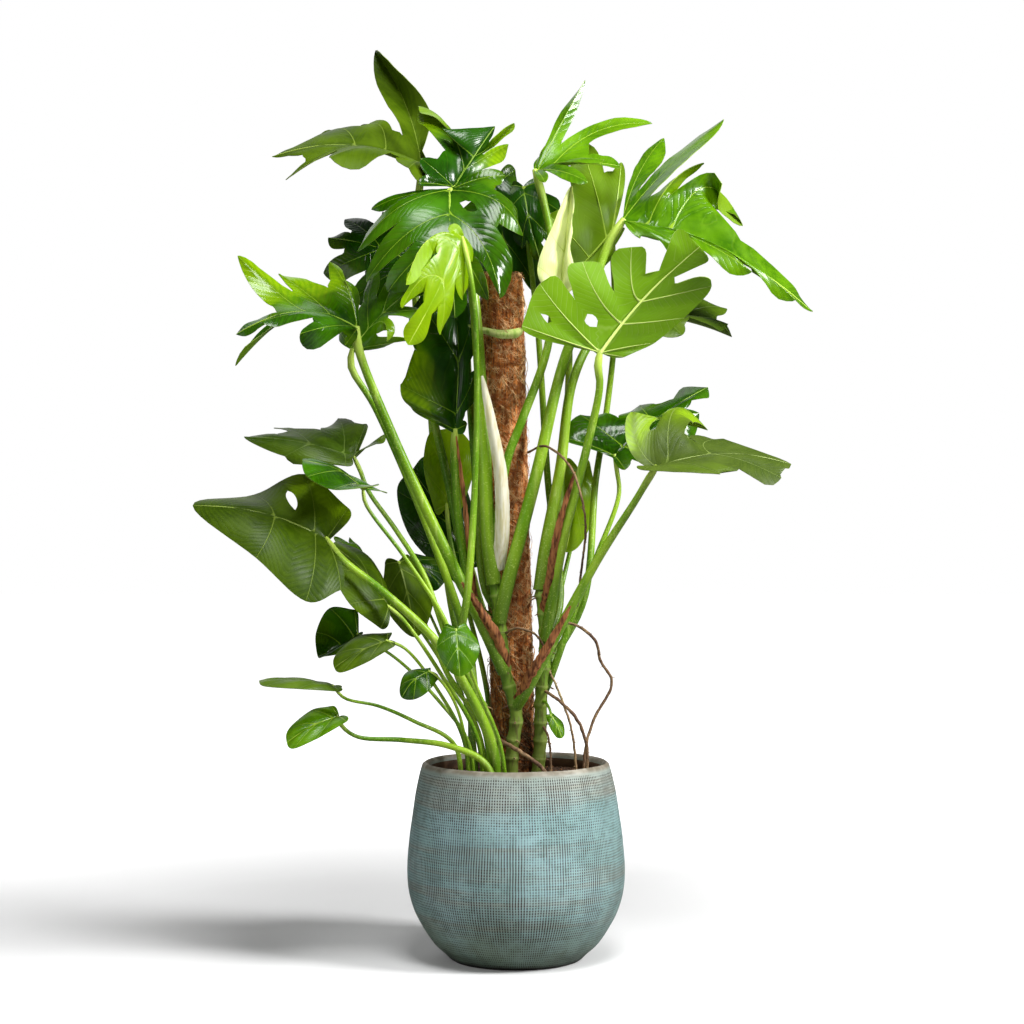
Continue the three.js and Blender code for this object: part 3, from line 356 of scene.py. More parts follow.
n.link(floorChoice.outputs[0], n.add("ShaderNodeOutputMaterial").inputs["Surface"])
floor = makeObject("floor", floorBm, [n.material])
print("camera, light and floor made")


# Leaf materials: the face towards the light, the underside and its ribs, each in the same few looks

leafLooks = {
    # painted shade: the dark look is a darker copy of the green for leaves that stand in shade
    "dark": {"top": (10, 44, 0), "pale": (40, 94, 0), "vein": (122, 162, 36), "under": (70, 100, 14),
             "ribs": (132, 162, 56), "glow": (104, 160, 0), "glowShare": 0.1, "gloss": 0.2},
    "deep": {"top": (18, 54, 0), "pale": (64, 120, 0), "vein": (140, 178, 40), "under": (84, 114, 18),
             "ribs": (142, 170, 62), "glow": (124, 176, 0), "glowShare": 0.12, "gloss": 0.2},
    "mid": {"top": (48, 98, 0), "pale": (112, 164, 6), "vein": (170, 204, 56), "under": (106, 140, 20),
            "ribs": (168, 196, 70), "glow": (156, 200, 0), "glowShare": 0.2, "gloss": 0.22},
    "fresh": {"top": (44, 92, 0), "pale": (92, 146, 8), "vein": (150, 190, 60), "under": (100, 136, 22),
              "ribs": (170, 202, 80), "glow": (156, 204, 0), "glowShare": 0.18, "gloss": 0.22},
    "bright": {"top": (104, 146, 0), "pale": (158, 194, 10), "vein": (190, 212, 70), "under": (134, 164, 22),
               "ribs": (182, 206, 76), "glow": (184, 214, 0), "glowShare": 0.32, "gloss": 0.28},
    # painted light: the glow look bakes the light shining through a backlit leaf into its colour
    "glow": {"top": (132, 176, 0), "pale": (176, 210, 10), "vein": (200, 222, 76), "under": (150, 190, 4),
             "ribs": (196, 220, 70), "glow": (188, 222, 0), "glowShare": 0.4, "gloss": 0.3},
    "light": {"top": (80, 122, 4), "pale": (126, 168, 18), "vein": (190, 212, 100), "under": (104, 146, 14),
              "ribs": (198, 216, 124), "glow": (170, 208, 8), "glowShare": 0.22, "gloss": 0.34},
    "olive": {"top": (44, 68, 0), "pale": (84, 110, 8), "vein": (132, 154, 56), "under": (78, 96, 16),
              "ribs": (138, 158, 68), "glow": (150, 180, 8), "glowShare": 0.16, "gloss": 0.42, "shine": 0.4},
    "grey": {"top": (54, 82, 8), "pale": (90, 116, 26), "vein": (122, 146, 66), "under": (76, 98, 28),
             "ribs": (122, 144, 74), "glow": (126, 166, 14), "glowShare": 0.12, "gloss": 0.34, "shine": 0.6},
    "dull": {"top": (58, 78, 20), "pale": (90, 110, 36), "vein": (136, 156, 78), "under": (78, 96, 36),
             "ribs": (156, 172, 106), "glow": (150, 176, 36), "glowShare": 0.14, "gloss": 0.4, "shine": 0.6},
    "pale": {"top": (224, 234, 150), "pale": (238, 244, 184), "vein": (196, 214, 100),
             "under": (216, 230, 130), "ribs": (190, 208, 90), "glow": (230, 240, 120), "glowShare": 0.3,
             "gloss": 0.4},
}

# painted light: lobes with a high tint turn towards this yellow-green, while a small tint is a random tone of
# the lobe
yellowTintAndLight = (146, 186, 10)


def leafMaterial(name, base, pale, vein, look, isUnder):
    n = Nodes(name)
    rib, along, edge = n.attribute("rib"), n.attribute("along"), n.attribute("edge")
    patch = n.noise(12, 3, 0.6)
    fine = n.noise(90, 2, 0.5)
    colour = n.mix(n.remap(patch, 0.3, 0.8), base, pale)
    # painted light on lobes given a high tint, over a random tone on the rest
    colour = n.mix(n.remap(n.attribute("tint"), 0.1, 1.4, 0.0, 0.85), colour, yellowTintAndLight)
    # fine side veins slant off the vein of each lobe
    slant = n.math("SUBTRACT", n.times(along, 11.0), n.times(rib, 0.1))
    slant = n.plus(slant, n.times(n.noise(30, 2), 0.7))
    middle = n.math("ABSOLUTE", n.math("SUBTRACT", n.math("FRACT", slant), 0.5))
    sideVein = n.remap(middle, 0.01, 0.08, 1.0, 0.0)
    # painted light and shade: paler where the blade swells between the side veins, and painted shade
    # darkening the furrow along each vein
    colour = n.mix(n.times(n.remap(middle, 0.1, 0.5), 0.3), colour, pale)
    colour = n.mix(n.remap(rib, 1.0, 9.0, 0.4, 0.0), colour, base)
    colour = n.mix(n.times(sideVein, 0.16 if isUnder else 0.07), colour, vein)
    colour = n.mix(n.times(n.remap(fine, 0.45, 0.7), 0.25), colour, pale)
    width = n.remap(along, 0.0, 1.0, 1.1 if isUnder else 0.8, 0.3, smooth=False)
    mainVein = n.remap(n.math("DIVIDE", rib, width), 0.5, 1.6, 1.0, 0.0)
    colour = n.mix(n.times(mainVein, 0.9 if isUnder else 0.7), colour, vein)
    colour = n.mix(n.remap(edge, 0.985, 1.0, 0.0, 0.6), colour, vein)
    rise = 1.0 if isUnder else -1.0
    height = n.plus(n.times(mainVein, rise), n.times(sideVein, 0.25 * rise))
    height = n.plus(height, n.times(n.remap(middle, 0.0, 0.5), 0.28))
    height = n.plus(height, n.times(fine, 0.12))
    normal = n.bump(height, 0.4, 0.8)
    gloss = look["gloss"] + (0.14 if isUnder else 0)
    roughness = n.spread(patch, gloss - 0.08, gloss + 0.06)
    shine = look.get("shine", 1.0) * (0.2 if isUnder else 0.32)
    return n.finish(colour, roughness, normal, shine, look["glow"], look["glowShare"])


leafMaterials = {}


def materialsOf(lookName):
    if lookName not in leafMaterials:
        look = leafLooks[lookName]
        underPale = tuple(min(255, int(c * 1.14)) for c in look["under"])
        n = Nodes("leaf_ribs_" + lookName)
        ribColour = n.mix(n.noise(40, 2), look["vein"], look["ribs"])
        ribs = n.finish(ribColour, n.spread(n.noise(60, 2), 0.38, 0.55), None, 0.4)
        leafMaterials[lookName] = (
            leafMaterial("leaf_top_" + lookName, look["top"], look["pale"], look["vein"], look, False),
            leafMaterial("leaf_under_" + lookName, look["under"], underPale, look["ribs"], look, True),
            ribs,
        )
    return leafMaterials[lookName]


stalkLook = {"green": (88, 136, 4), "light": (150, 188, 40), "knee": (184, 210, 86), "foot": (76, 104, 22),
             "fleck": (204, 220, 120)}


def stalkMaterial():
    n = Nodes("leaf_stalk")
    along = n.attribute("along")
    streak = n.noise(160, 2, 0.5, (1, 1, 0.06))
    freckle = n.noise(420, 1)
    patch = n.noise(14, 3, 0.6, (1, 1, 0.25))
    colour = n.mix(n.remap(patch, 0.35, 0.68), stalkLook["green"], stalkLook["light"])
    colour = n.mix(n.times(n.remap(streak, 0.55, 0.75), 0.35), colour, stalkLook["fleck"])
    colour = n.mix(n.remap(along, 0.88, 0.985), colour, stalkLook["knee"])
    colour = n.mix(n.remap(along, 0.0, 0.3, 0.7, 0.0), colour, stalkLook["foot"])
    colour = n.mix(n.times(n.remap(freckle, 0.6, 0.7), 0.4), colour, stalkLook["fleck"])
    normal = n.bump(n.plus(streak, n.times(freckle, 0.3)), 0.25, 0.8)
    return n.finish(colour, n.spread(streak, 0.3, 0.46), normal, 0.35)


stalkGreen = stalkMaterial()
print("leaf materials made")


# Leaves. For each: where the blade joins its stalk, its tip, the widest points of both sides, how far its
# midrib bows and the lobes on a side. Lobes are named by side and order from the joint, L0, L1 .. R1, R0,
# and T for the one at the tip. tips and bends place single lobes. cuts say where the cut beyond a lobe
# begins between the midrib (0) and the margin (1), and widths limit a lobe's half width. holes give the
# centre, half length and depth of a hole beyond a lobe. foot and knee are the stalk's radii, and wave is
# how far the margin waves.

leaves = {
    "leaf_upright_lobe": {
        "joint": (-144, 60, 1193), "tip": (-366, 0, 1200), "left": (-209, -100, 1181),
        "right": (-230, 170, 1255),
        "bow": 26, "lobes": 4, "foot": 7, "knee": 5.2, "look": "olive", "wave": 2,
        "cuts": {"R0": 0.2, "R1": 0.2, "R2": 0.45},
        "widths": {"R0": 20, "R1": 34, "R2": 16, "R3": 13, "T": 13, "L3": 12},
        "twists": {"R1": 0, "R3": 0.6},
        "tints": {"R1": 0, "T": 0.3, "L3": 0.4},
        "bends": {"R1": (-164, 200, 1324), "R2": (-202, 120, 1299), "R3": (-263, 100, 1284)},
        "tips": {"R1": (-226, 230, 1407), "R2": (-249, 120, 1254), "R3": (-309, 100, 1239),
                 "L3": (-340, -50, 1157), "L0": (-121, 34, 1192), "R0": (-116, 60, 1205)},
        "stalk": [(-21, -44, 460), (-48, -34, 489), (-63, 6, 535), (-85, 42, 624), (-104, 54, 716),
                  (-132, 74, 839), (-154, 98, 979), (-155, 102, 1103)],
    },
    "leaf_top": {
        "joint": (-93, -10, 1153), "tip": (-32, 30, 1251), "left": (-148, 20, 1213),
        "right": (-1, 50, 1234),
        # painted shade: the dark look stands for the shade on this leaf's face, and its high tints paint the
        # light on its right lobes
        "bow": 10, "lobes": 4, "cut": 0.4, "foot": 7, "knee": 4, "look": "dark", "wave": 2,
        "cuts": {"L3": 1, "L0": 0.78, "R0": 0.78, "R2": 0.3, "R3": 0.3},
        "widths": {"L2": 30, "T": 40, "L3": 40, "R3": 12, "R2": 26, "R1": 20, "L0": 24, "L1": 24},
        "tints": {"L2": 0.9, "R3": 0.9, "R2": 1.4, "R1": 1.4, "T": 0, "L3": 0, "L1": 0.1},
        "bends": {"L2": (-97, 40, 1275), "R3": (-40, 60, 1220)},
        "tips": {"L0": (-143, -66, 1150), "L1": (-141, -46, 1190), "L2": (-149, 70, 1289),
                 "L3": (-111, 0, 1243), "R3": (-3, 80, 1265), "R2": (-11, 60, 1229),
                 "R1": (-24, 30, 1170), "R0": (-66, 10, 1136)},
        "stalk": [(-30, -44, 525), (-45, -26, 551), (-55, -10, 618), (-60, 14, 715), (-70, 44, 837),
                  (-79, 64, 991), (-88, 34, 1094)],
    },
    "leaf_front_crown": {
        "joint": (-98, -50, 1142), "tip": (-88, -130, 946), "left": (14, -110, 1061),
        "right": (-213, -90, 1071),
        "bow": 30, "lobes": 4, "gap": 0.1, "foot": 12, "knee": 6.5, "look": "deep", "wave": 3,
        "holes": {"L0": (0.16, 0.07, 0.45), "L1": (0.2, 0.08, 0.3)},
        "cuts": {"R0": 0.45, "R1": 0.5, "R2": 0.4},
        "widths": {"L1": 46, "R1": 36, "R2": 30, "R0": 22, "L2": 34},
        "bends": {"L1": (-9, -110, 1133), "L2": (-38, -120, 1071), "R1": (-180, -110, 1125),
                  "R2": (-162, -120, 1086)},
        "tips": {"R0": (-214, -50, 1114), "R1": (-232, -90, 1046), "R2": (-217, -115, 1000),
                 "R3": (-185, -125, 984), "L0": (-16, -40, 1165), "L1": (10, -80, 1071),
                 "L2": (-23, -130, 975), "L3": (-41, -120, 973)},
        "stalk": [(-33, -52, 561), (-41, -54, 626), (-47, -54, 758), (-62, -40, 981), (-80, -24, 1087)],
    },
    "leaf_backlit": {
        "joint": (-77, -150, 1059), "tip": (-152, -200, 902), "left": (-71, -170, 968),
        "right": (-156, -200, 1019),
        # painted light: the glow look puts the light shining through this leaf into its colour
        "bow": 12, "lobes": 3, "cut": 0.35, "fold": 0.5, "foot": 6, "knee": 3, "look": "glow",
        "wave": 3,
        "cuts": {"R1": 0.25, "R0": 0.5},
        "widths": {"R1": 22, "R2": 18, "T": 22, "L1": 20, "L2": 18},
        "bends": {"R1": (-130, -190, 1087), "R2": (-130, -205, 1018)},
        "tips": {"R0": (-97, -160, 1072), "R1": (-154, -220, 984), "R2": (-160, -215, 952),
                 "L0": (-63, -140, 1026), "L1": (-77, -160, 969), "L2": (-108, -180, 918)},
        "stalk": [(-86, -84, 460), (-78, -108, 503), (-70, -114, 554), (-61, -100, 684),
                  (-57, -116, 829), (-60, -162, 969), (-70, -164, 1031)],
    },
    "leaf_inner_left": {
        "joint": (-146, 40, 1041), "tip": (-287, 60, 1086), "left": (-248, 20, 987),
        "right": (-204, 100, 1131),
        "bow": 14, "lobes": 3, "cut": 0.5, "foot": 6, "knee": 3.5, "look": "dark",
        "stalk": [(-70, 34, 208), (-70, 64, 379), (-103, 134, 529), (-120, 166, 654), (-132, 166, 781),
                  (-140, 120, 935)],
    },
    "leaf_inner_right": {
        "joint": (-34, 125, 1175), "tip": (0, 112, 968), "left": (46, 135, 1108),
        "right": (-84, 125, 1103),
        "bow": 8, "lobes": 3, "cut": 0.5, "foot": 6, "knee": 3.5, "look": "dark",
        "stalk": [(0, 62, 204), (6, 84, 455), (10, 112, 763), (-3, 166, 1001), (-28, 154, 1126)],
    },
    "leaf_cluster_left_a": {
        "joint": (-229, -130, 932), "tip": (-394, -200, 917), "left": (-300, -240, 899),
        "right": (-315, -90, 1020),
        "bow": 34, "lobes": 4, "fold": 0.5, "foot": 10, "knee": 5.5, "look": "deep", "wave": 3,
        "cuts": {"R3": 0.3, "L3": 0.4},
        "widths": {"R3": 26, "R2": 26, "R1": 18, "R0": 20, "L3": 20, "L2": 22, "T": 18},
        "twists": {"R0": 0, "L0": 0, "L2": 0},
        "tints": {"R3": 1.1, "R2": 1, "R1": 1, "T": 0.2, "L3": 0.2, "L0": 0.5},
        "bends": {"R3": (-319, -110, 957), "R2": (-288, -100, 975), "R0": (-232, -104, 969),
                  "L3": (-330, -220, 946)},
        "tips": {"R0": (-251, -90, 1007), "R1": (-275, -60, 1035), "R2": (-346, -90, 1015),
                 "R3": (-402, -120, 1037), "L3": (-392, -220, 871), "L2": (-353, -240, 931),
                 "L1": (-300, -240, 914), "L0": (-244, -160, 905)},
        "stalk": [(-18, -56, 431), (-44, -72, 491), (-96, -90, 597), (-178, -108, 776),
                  (-228, -130, 907)],
    },
    "leaf_cluster_left_b": {
        "joint": (-239, -90, 903), "tip": (-134, -60, 1006), "left": (-212, -20, 1031),
        "right": (-170, -80, 904),
        "bow": 18, "lobes": 4, "cut": 0.35, "gap": 0.2, "fold": 0.5, "foot": 7, "knee": 4.5,
        "look": "fresh", "wave": 3,
        "widths": {"T": 20, "R2": 22, "R3": 18, "R1": 16, "L1": 26, "L2": 24, "L3": 16, "L0": 20},
        "tints": {"R2": 1, "T": 0.1, "L1": 0.4, "R1": 0.8},
        "bends": {"L1": (-239, -20, 974), "R2": (-183, -110, 960)},
        "tips": {"L0": (-261, -40, 937), "L1": (-256, -10, 1014), "L2": (-209, -10, 1032),
                 "L3": (-167, -20, 1025), "R3": (-132, -100, 961), "R2": (-186, -130, 913),
                 "R1": (-151, -100, 917), "R0": (-223, -70, 905)},
        "stalk": [(-62, -78, 407), (-71, -44, 469), (-112, -50, 596), (-205, -80, 818),
                  (-241, -88, 880)],
    },
    "leaf_hanging": {
        "joint": (-91, -20, 789), "tip": (-97, 40, 1027), "left": (-172, -40, 870),
        "right": (-57, 20, 912),
        "bow": 20, "lobes": 3, "foot": 9, "knee": 4.5, "look": "dark", "wave": 2,
        "cuts": {"L0": 1, "L1": 0.84, "L2": 1, "R2": 1, "R1": 0.5, "R0": 0.45},
        "tints": {"R0": 0, "R1": 0, "R2": 0.1, "T": 0.2, "L0": 0.8, "L1": 1, "L2": 0.3},
        "tips": {"L0": (-153, -40, 818), "L1": (-171, -50, 855), "L2": (-147, 10, 986),
                 "R0": (-73, -10, 799), "R1": (-60, -6, 880), "R2": (-63, 20, 987)},
        "stalk": [(-25, -50, 496), (-60, -14, 530), (-82, -2, 625), (-93, -10, 745)],
    },
    "leaf_narrow_lobes": {
        "joint": (29, 30, 1183), "tip": (158, 40, 1192), "left": (115, 120, 1246),
        "right": (101, -60, 1148),
        "bow": 10, "lobes": 3, "cut": 0.22, "rootReach": 0.3, "foot": 7, "knee": 5.5, "look": "mid",
        "wave": 2,
        "widths": {"L1": 13, "L2": 13, "R2": 14, "L0": 14, "T": 18, "R1": 16},
        "tints": {"L1": 0.2, "L2": 0.5, "T": 0, "R1": 0.2},
        "bends": {"L1": (68, 70, 1262), "L2": (118, 100, 1276), "L0": (31, 60, 1220)},
        "tips": {"L1": (107, 100, 1335), "L2": (212, 120, 1271), "R1": (106, -50, 1154),
                 "R2": (132, -10, 1193), "L0": (71, 80, 1236), "R0": (43, -30, 1157)},
        "stalk": [(-33, -54, 584), (-27, -58, 655), (-13, -58, 744), (9, -52, 803), (48, -20, 917),
                  (57, 6, 1046), (41, 20, 1138)],
    },
    "leaf_under_narrow": {
        "joint": (12, 84, 1166), "tip": (38, 54, 1048), "left": (67, 60, 1128),
        "right": (-15, 80, 1124),
        "bow": 18, "lobes": 3, "foot": 6, "knee": 4, "look": "dark",
        "stalk": [(43, -32, 465), (66, 6, 529), (49, 76, 716), (34, 92, 948), (19, 102, 1088)],
    },
    "leaf_big_right": {
        "joint": (161, 10, 1106), "tip": (450, 40, 971), "left": (272, 130, 1216),
        "right": (258, -40, 1037),
        "bow": 30, "lobes": 4, "rootReach": 0.3, "fold": 0.5, "foot": 11, "knee": 6, "look": "mid",
        "wave": 3,
        "cuts": {"L0": 0.2, "L1": 0.2, "L2": 0.24, "L3": 0.3, "R3": 0.5, "R2": 0.6, "R1": 0.45,
                 "R0": 0.75},
        "widths": {"L0": 36, "L1": 30, "L2": 18, "L3": 36, "T": 26, "R3": 24, "R2": 26},
        "twists": {"L3": 0.7},
        "tints": {"L0": 0, "L1": 0.4, "L2": 1.3, "L3": 0.4, "R0": 0.2, "R1": 0, "T": 0.3},
        "bends": {"L0": (184, 130, 1201), "L1": (230, 110, 1207), "L2": (229, 20, 1183),
                  "L3": (290, 50, 1225)},
        "tips": {"L0": (234, 170, 1258), "L1": (325, 130, 1279), "L2": (282, 0, 1191),
                 "L3": (347, 60, 1104), "R0": (185, -20, 1075), "R1": (275, -40, 1037),
                 "R2": (353, -10, 1026), "R3": (421, 10, 986)},
        "stalk": [(-25, -54, 505), (-15, -62, 552), (28, -46, 714), (72, -18, 894), (114, -6, 999),
                  (138, 4, 1066)],
    },
    "leaf_right_inner": {
        "joint": (146, 48, 1093), "tip": (61, 28, 1003), "left": (61, 60, 1159),
        "right": (130, 24, 1036),
        "bow": 10, "lobes": 3, "cut": 0.7, "foot": 6, "knee": 4, "look": "mid", "wave": 2,
        "widths": {"L0": 30, "L1": 40},
        "tips": {"L0": (162, 80, 1205), "L1": (99, 80, 1233), "L2": (49, 50, 1119)},
        "stalk": [(40, -36, 430), (63, -2, 460), (102, 8, 535), (122, 60, 716), (139, 96, 815),
                  (152, 96, 933), (151, 76, 1008)],
    },
    "leaf_rolled_new": {
        "joint": (65, -44, 984), "tip": (82, -20, 1153), "left": (32, -60, 1026),
        "right": (97, -60, 1044),
        "bow": -6, "lobes": 3, "curl": 0.3, "cut": 1, "foot": 6, "knee": 5, "look": "pale", "wave": 7,
        "tips": {"R2": (84, -40, 1107), "R1": (80, -50, 1054), "L2": (50, -44, 1081),
                 "R0": (94, -56, 1009), "L0": (44, -58, 985)},
        "stalk": [(37, -36, 528), (60, 10, 595), (70, 58, 731), (80, 60, 853), (78, 6, 948)],
    },
    "leaf_light_front": {
        "joint": (121, -120, 897), "tip": (265, -120, 1050), "left": (244, -20, 956),
        "right": (56, -110, 1003),
        "bow": 18, "lobes": 4, "gap": 0.1, "blunt": 4, "fold": 0, "foot": 9, "knee": 5, "look": "light",
        "wave": 2,
        "holes": {"R1": (0.3, 0.09, 0.3), "R0": (0.66, 0.06, 0.22)},
        "cuts": {"L0": 1, "L1": 1, "L2": 1, "L3": 0.38, "R3": 0.5, "R2": 0.48, "R1": 0.62, "R0": 1},
        "widths": {"T": 42, "R2": 38, "R3": 32, "R1": 50, "R0": 60, "L3": 30, "L2": 44},
        "bends": {"R2": (115, -126, 967), "R3": (161, -120, 979)},
        "tips": {"R0": (8, -130, 935), "R1": (34, -125, 996), "R2": (96, -104, 1030),
                 "R3": (168, -100, 1052), "L0": (159, -60, 895), "L1": (205, -36, 918),
                 "L2": (249, -36, 955), "L3": (288, -60, 1000)},
        "stalk": [(43, -44, 478), (53, -56, 537), (67, -78, 619), (102, -98, 757), (121, -114, 851),
                  (118, -120, 878)],
    },
    "leaf_behind_light": {
        "joint": (190, 60, 973), "tip": (333, 90, 937), "left": (273, 140, 1015),
        "right": (246, 0, 933),
        "bow": 8, "lobes": 3, "foot": 10, "knee": 5.5, "look": "grey", "wave": 2,
        "tips": {"L2": (330, 130, 984), "R2": (324, 60, 954), "L0": (162, 110, 996),
                 "R0": (157, 20, 939)},
        "stalk": [(35, -40, 551), (43, -32, 611), (66, -4, 730), (86, 10, 866), (125, 42, 938)],
    },
    "leaf_middle_left": {
        "joint": (-239, -60, 748), "tip": (-394, -110, 776), "left": (-282, -130, 727),
        "right": (-281, 20, 791),
        "bow": 8, "lobes": 3, "gap": 0.2, "foot": 5, "knee": 3, "look": "grey", "wave": 2,
        "cuts": {"L0": 0.4, "L1": 0.84, "L2": 1, "R2": 0.42, "R1": 0.5, "R0": 0.84},
        "widths": {"R2": 9, "T": 12, "L0": 12},
        "tips": {"R0": (-224, -20, 798), "R1": (-268, 10, 808), "R2": (-360, -30, 792),
                 "L0": (-192, -50, 779), "L1": (-249, -90, 734), "L2": (-336, -100, 748)},
        "stalk": [(-73, -80, 427), (-99, -104, 481), (-134, -98, 575), (-176, -80, 641),
                  (-218, -60, 699), (-230, -58, 729)],
    },
    "leaf_middle_left_low": {
        "joint": (-221, -120, 700), "tip": (-305, -160, 740), "left": (-255, -200, 698),
        "right": (-265, -80, 728),
        "bow": 10, "lobes": 3, "cut": 1, "foot": 4, "knee": 2.5, "look": "deep",
        "tips": {"R0": (-194, -90, 696), "L0": (-201, -160, 704)},
        "stalk": [(-53, -78, 386), (-79, -106, 447), (-107, -114, 518), (-162, -116, 603),
                  (-217, -124, 679)],
    },
    "leaf_large_low": {
        "joint": (-275, -110, 628), "tip": (-464, -140, 676), "left": (-319, -190, 557),
        "right": (-318, -60, 714),
        "bow": 22, "lobes": 3, "cut": 1, "foot": 8, "knee": 5, "look": "olive", "wave": 1,
        "holes": {"R1": (0.48, 0.2, 0.2)},
        "tints": {"R0": 0.9, "R1": 0.9, "R2": 0.5, "T": 0.1, "L0": 0.2, "L1": 0},
        "tips": {"R0": (-244, -100, 673), "R1": (-312, -60, 723), "R2": (-385, -70, 692),
                 "L0": (-250, -160, 556), "L1": (-297, -190, 541), "L2": (-367, -190, 602)},
        "stalk": [(-25, -84, 229), (-35, -92, 328), (-80, -112, 427), (-117, -120, 482),
                  (-190, -138, 552), (-246, -132, 595), (-265, -118, 614)],
    },
    "leaf_low_a": {
        "joint": (-186, -100, 530), "tip": (-268, -90, 619), "left": (-238, -140, 534),
        "right": (-213, -50, 596),
        "bow": 10, "lobes": 3, "cut": 1, "foot": 4, "knee": 2.5, "look": "olive",
        "stalk": [(-47, -60, 225), (-56, -68, 332), (-111, -98, 434), (-163, -106, 510)],
    },
    "leaf_low_b": {
        "joint": (-173, -46, 592), "tip": (-147, -66, 483), "left": (-125, -26, 551),
        "right": (-196, -40, 537),
        "bow": 14, "lobes": 3, "cut": 1, "foot": 4, "knee": 2.5, "look": "olive",
        "stalk": [(-40, -32, 222), (-48, -30, 343), (-98, -30, 417), (-137, -16, 503),
                  (-166, -34, 563)],
    },
    "leaf_crinkled": {
        "joint": (-226, 14, 586), "tip": (-279, 0, 616), "left": (-256, -10, 574),
        "right": (-252, 40, 628),
        "bow": 5, "lobes": 3, "cut": 0.6, "foot": 3, "knee": 2, "look": "mid", "wave": 4,
        "stalk": [(-42, -6, 218), (-54, 0, 333), (-114, 10, 444), (-190, 18, 549)],
    },
    "leaf_behind_left_a": {
        "joint": (-107, 80, 678), "tip": (-117, 100, 794), "left": (-141, 70, 731),
        "right": (-62, 90, 747),
        "bow": 12, "lobes": 3, "cut": 1, "foot": 5, "knee": 3, "look": "bright",
        "stalk": [(-35, 28, 213), (-42, 34, 382), (-73, 60, 517), (-101, 84, 624)],
    },
    "leaf_behind_left_b": {
        "joint": (-68, 90, 584), "tip": (-162, 130, 733), "left": (-160, 90, 624),
        "right": (-84, 140, 717),
        "bow": 12, "lobes": 3, "cut": 1, "foot": 5, "knee": 3, "look": "dark",
        "stalk": [(-15, 48, 210), (-21, 56, 380), (-40, 76, 486), (-58, 88, 547)],
    },
    "leaf_small_dark": {
        "joint": (-157, 20, 595), "tip": (-112, 0, 556), "left": (-118, 26, 594),
        "right": (-147, 0, 562),
        "bow": 6, "lobes": 3, "cut": 1, "foot": 3, "knee": 2, "look": "dark",
        "stalk": [(-57, 14, 215), (-65, 24, 330), (-100, 38, 442), (-146, 42, 548)],
    },
    "leaf_heart_front": {
        "joint": (-86, -150, 498), "tip": (-80, -172, 434), "left": (-53, -152, 477),
        "right": (-113, -158, 476),
        "bow": 6, "lobes": 3, "cut": 1, "foot": 3.5, "knee": 2, "look": "fresh",
        "stalk": [(-12, -96, 231), (-23, -112, 330), (-55, -132, 411), (-75, -146, 467)],
    },
    "leaf_low_left_a": {
        "joint": (-186, -120, 481), "tip": (-260, -150, 444), "left": (-212, -150, 453),
        "right": (-229, -110, 487),
        "bow": 6, "lobes": 3, "cut": 1, "foot": 3.5, "knee": 2, "look": "olive",
        "stalk": [(-68, -62, 226), (-76, -72, 330), (-114, -96, 408), (-161, -117, 470)],
    },
    "leaf_low_left_b": {
        "joint": (-234, -40, 486), "tip": (-290, -80, 456), "left": (-255, -80, 462),
        "right": (-277, -20, 524),
        "bow": -6, "lobes": 3, "cut": 1, "foot": 3.5, "knee": 2, "look": "deep",
        "stalk": [(-62, -42, 223), (-71, -40, 326), (-116, -40, 389), (-175, -40, 448)],
    },
    "leaf_small_curled": {
        "joint": (-124, -140, 438), "tip": (-163, -156, 402), "left": (-126, -164, 411),
        "right": (-156, -130, 437),
        "bow": 10, "lobes": 3, "cut": 1, "foot": 3, "knee": 2, "look": "deep",
        "stalk": [(-64, -80, 228), (-73, -84, 325), (-87, -120, 388), (-109, -140, 426)],
    },
    "leaf_small_right": {
        "joint": (51, -62, 368), "tip": (67, -74, 336), "left": (68, -60, 358), "right": (50, -72, 350),
        "bow": 4, "lobes": 3, "cut": 1, "foot": 2.5, "knee": 1.8, "look": "mid",
        "stalk": [(37, -34, 388), (44, -48, 385), (50, -59, 375)],
    },
    "leaf_edge_on": {
        "joint": (-264, -120, 416), "tip": (-365, -170, 427), "left": (-307, -175, 416),
        "right": (-313, -110, 421),
        "bow": 4, "lobes": 3, "cut": 1, "foot": 4, "knee": 2, "look": "grey",
        "stalk": [(-79, -80, 228), (-90, -92, 328), (-148, -110, 364), (-199, -120, 387),
                  (-248, -124, 399)],
    },
    "leaf_lowest": {
        "joint": (-258, -110, 370), "tip": (-328, -150, 337), "left": (-283, -150, 344),
        "right": (-296, -110, 380),
        "bow": 8, "lobes": 3, "cut": 1, "foot": 6, "knee": 2.5, "look": "mid",
        "tips": {"R0": (-269, -100, 385), "L0": (-244, -140, 366)},
        "stalk": [(-23, -104, 232), (-44, -104, 301), (-97, -110, 328), (-164, -112, 337),
                  (-230, -114, 342), (-252, -112, 357)],
    },
    "leaf_right_front": {
        "joint": (201, -140, 732), "tip": (392, -160, 735), "left": (278, -60, 802),
        "right": (287, -200, 712),
        "bow": 20, "lobes": 3, "foot": 9, "knee": 4.5, "look": "dull", "wave": 1,
        "holes": {"L0": (0.55, 0.16, 0.4)},
        "cuts": {"L0": 1, "L1": 0.25, "L2": 1, "R2": 0.84, "R1": 0.8, "R0": 1},
        "widths": {"L1": 44, "L0": 34, "L2": 26, "T": 26},
        "twists": {"L1": 0},
        "tints": {"L1": 1.3, "L0": 1.2, "T": 0, "R2": 0, "L2": 0.1},
        "bends": {"L0": (164, -120, 759), "L1": (214, -70, 872), "L2": (252, -110, 771)},
        "tips": {"L0": (171, -110, 812), "L1": (284, -40, 788), "L2": (301, -110, 773),
                 "R2": (374, -190, 715), "R1": (286, -210, 720), "R0": (182, -180, 726)},
        "stalk": [(1, -52, 381), (12, -62, 399), (36, -74, 444), (116, -106, 594), (172, -132, 684),
                  (189, -138, 713)],
    },
    "leaf_right_back": {
        "joint": (149, 20, 752), "tip": (297, 100, 860), "left": (113, 60, 815),
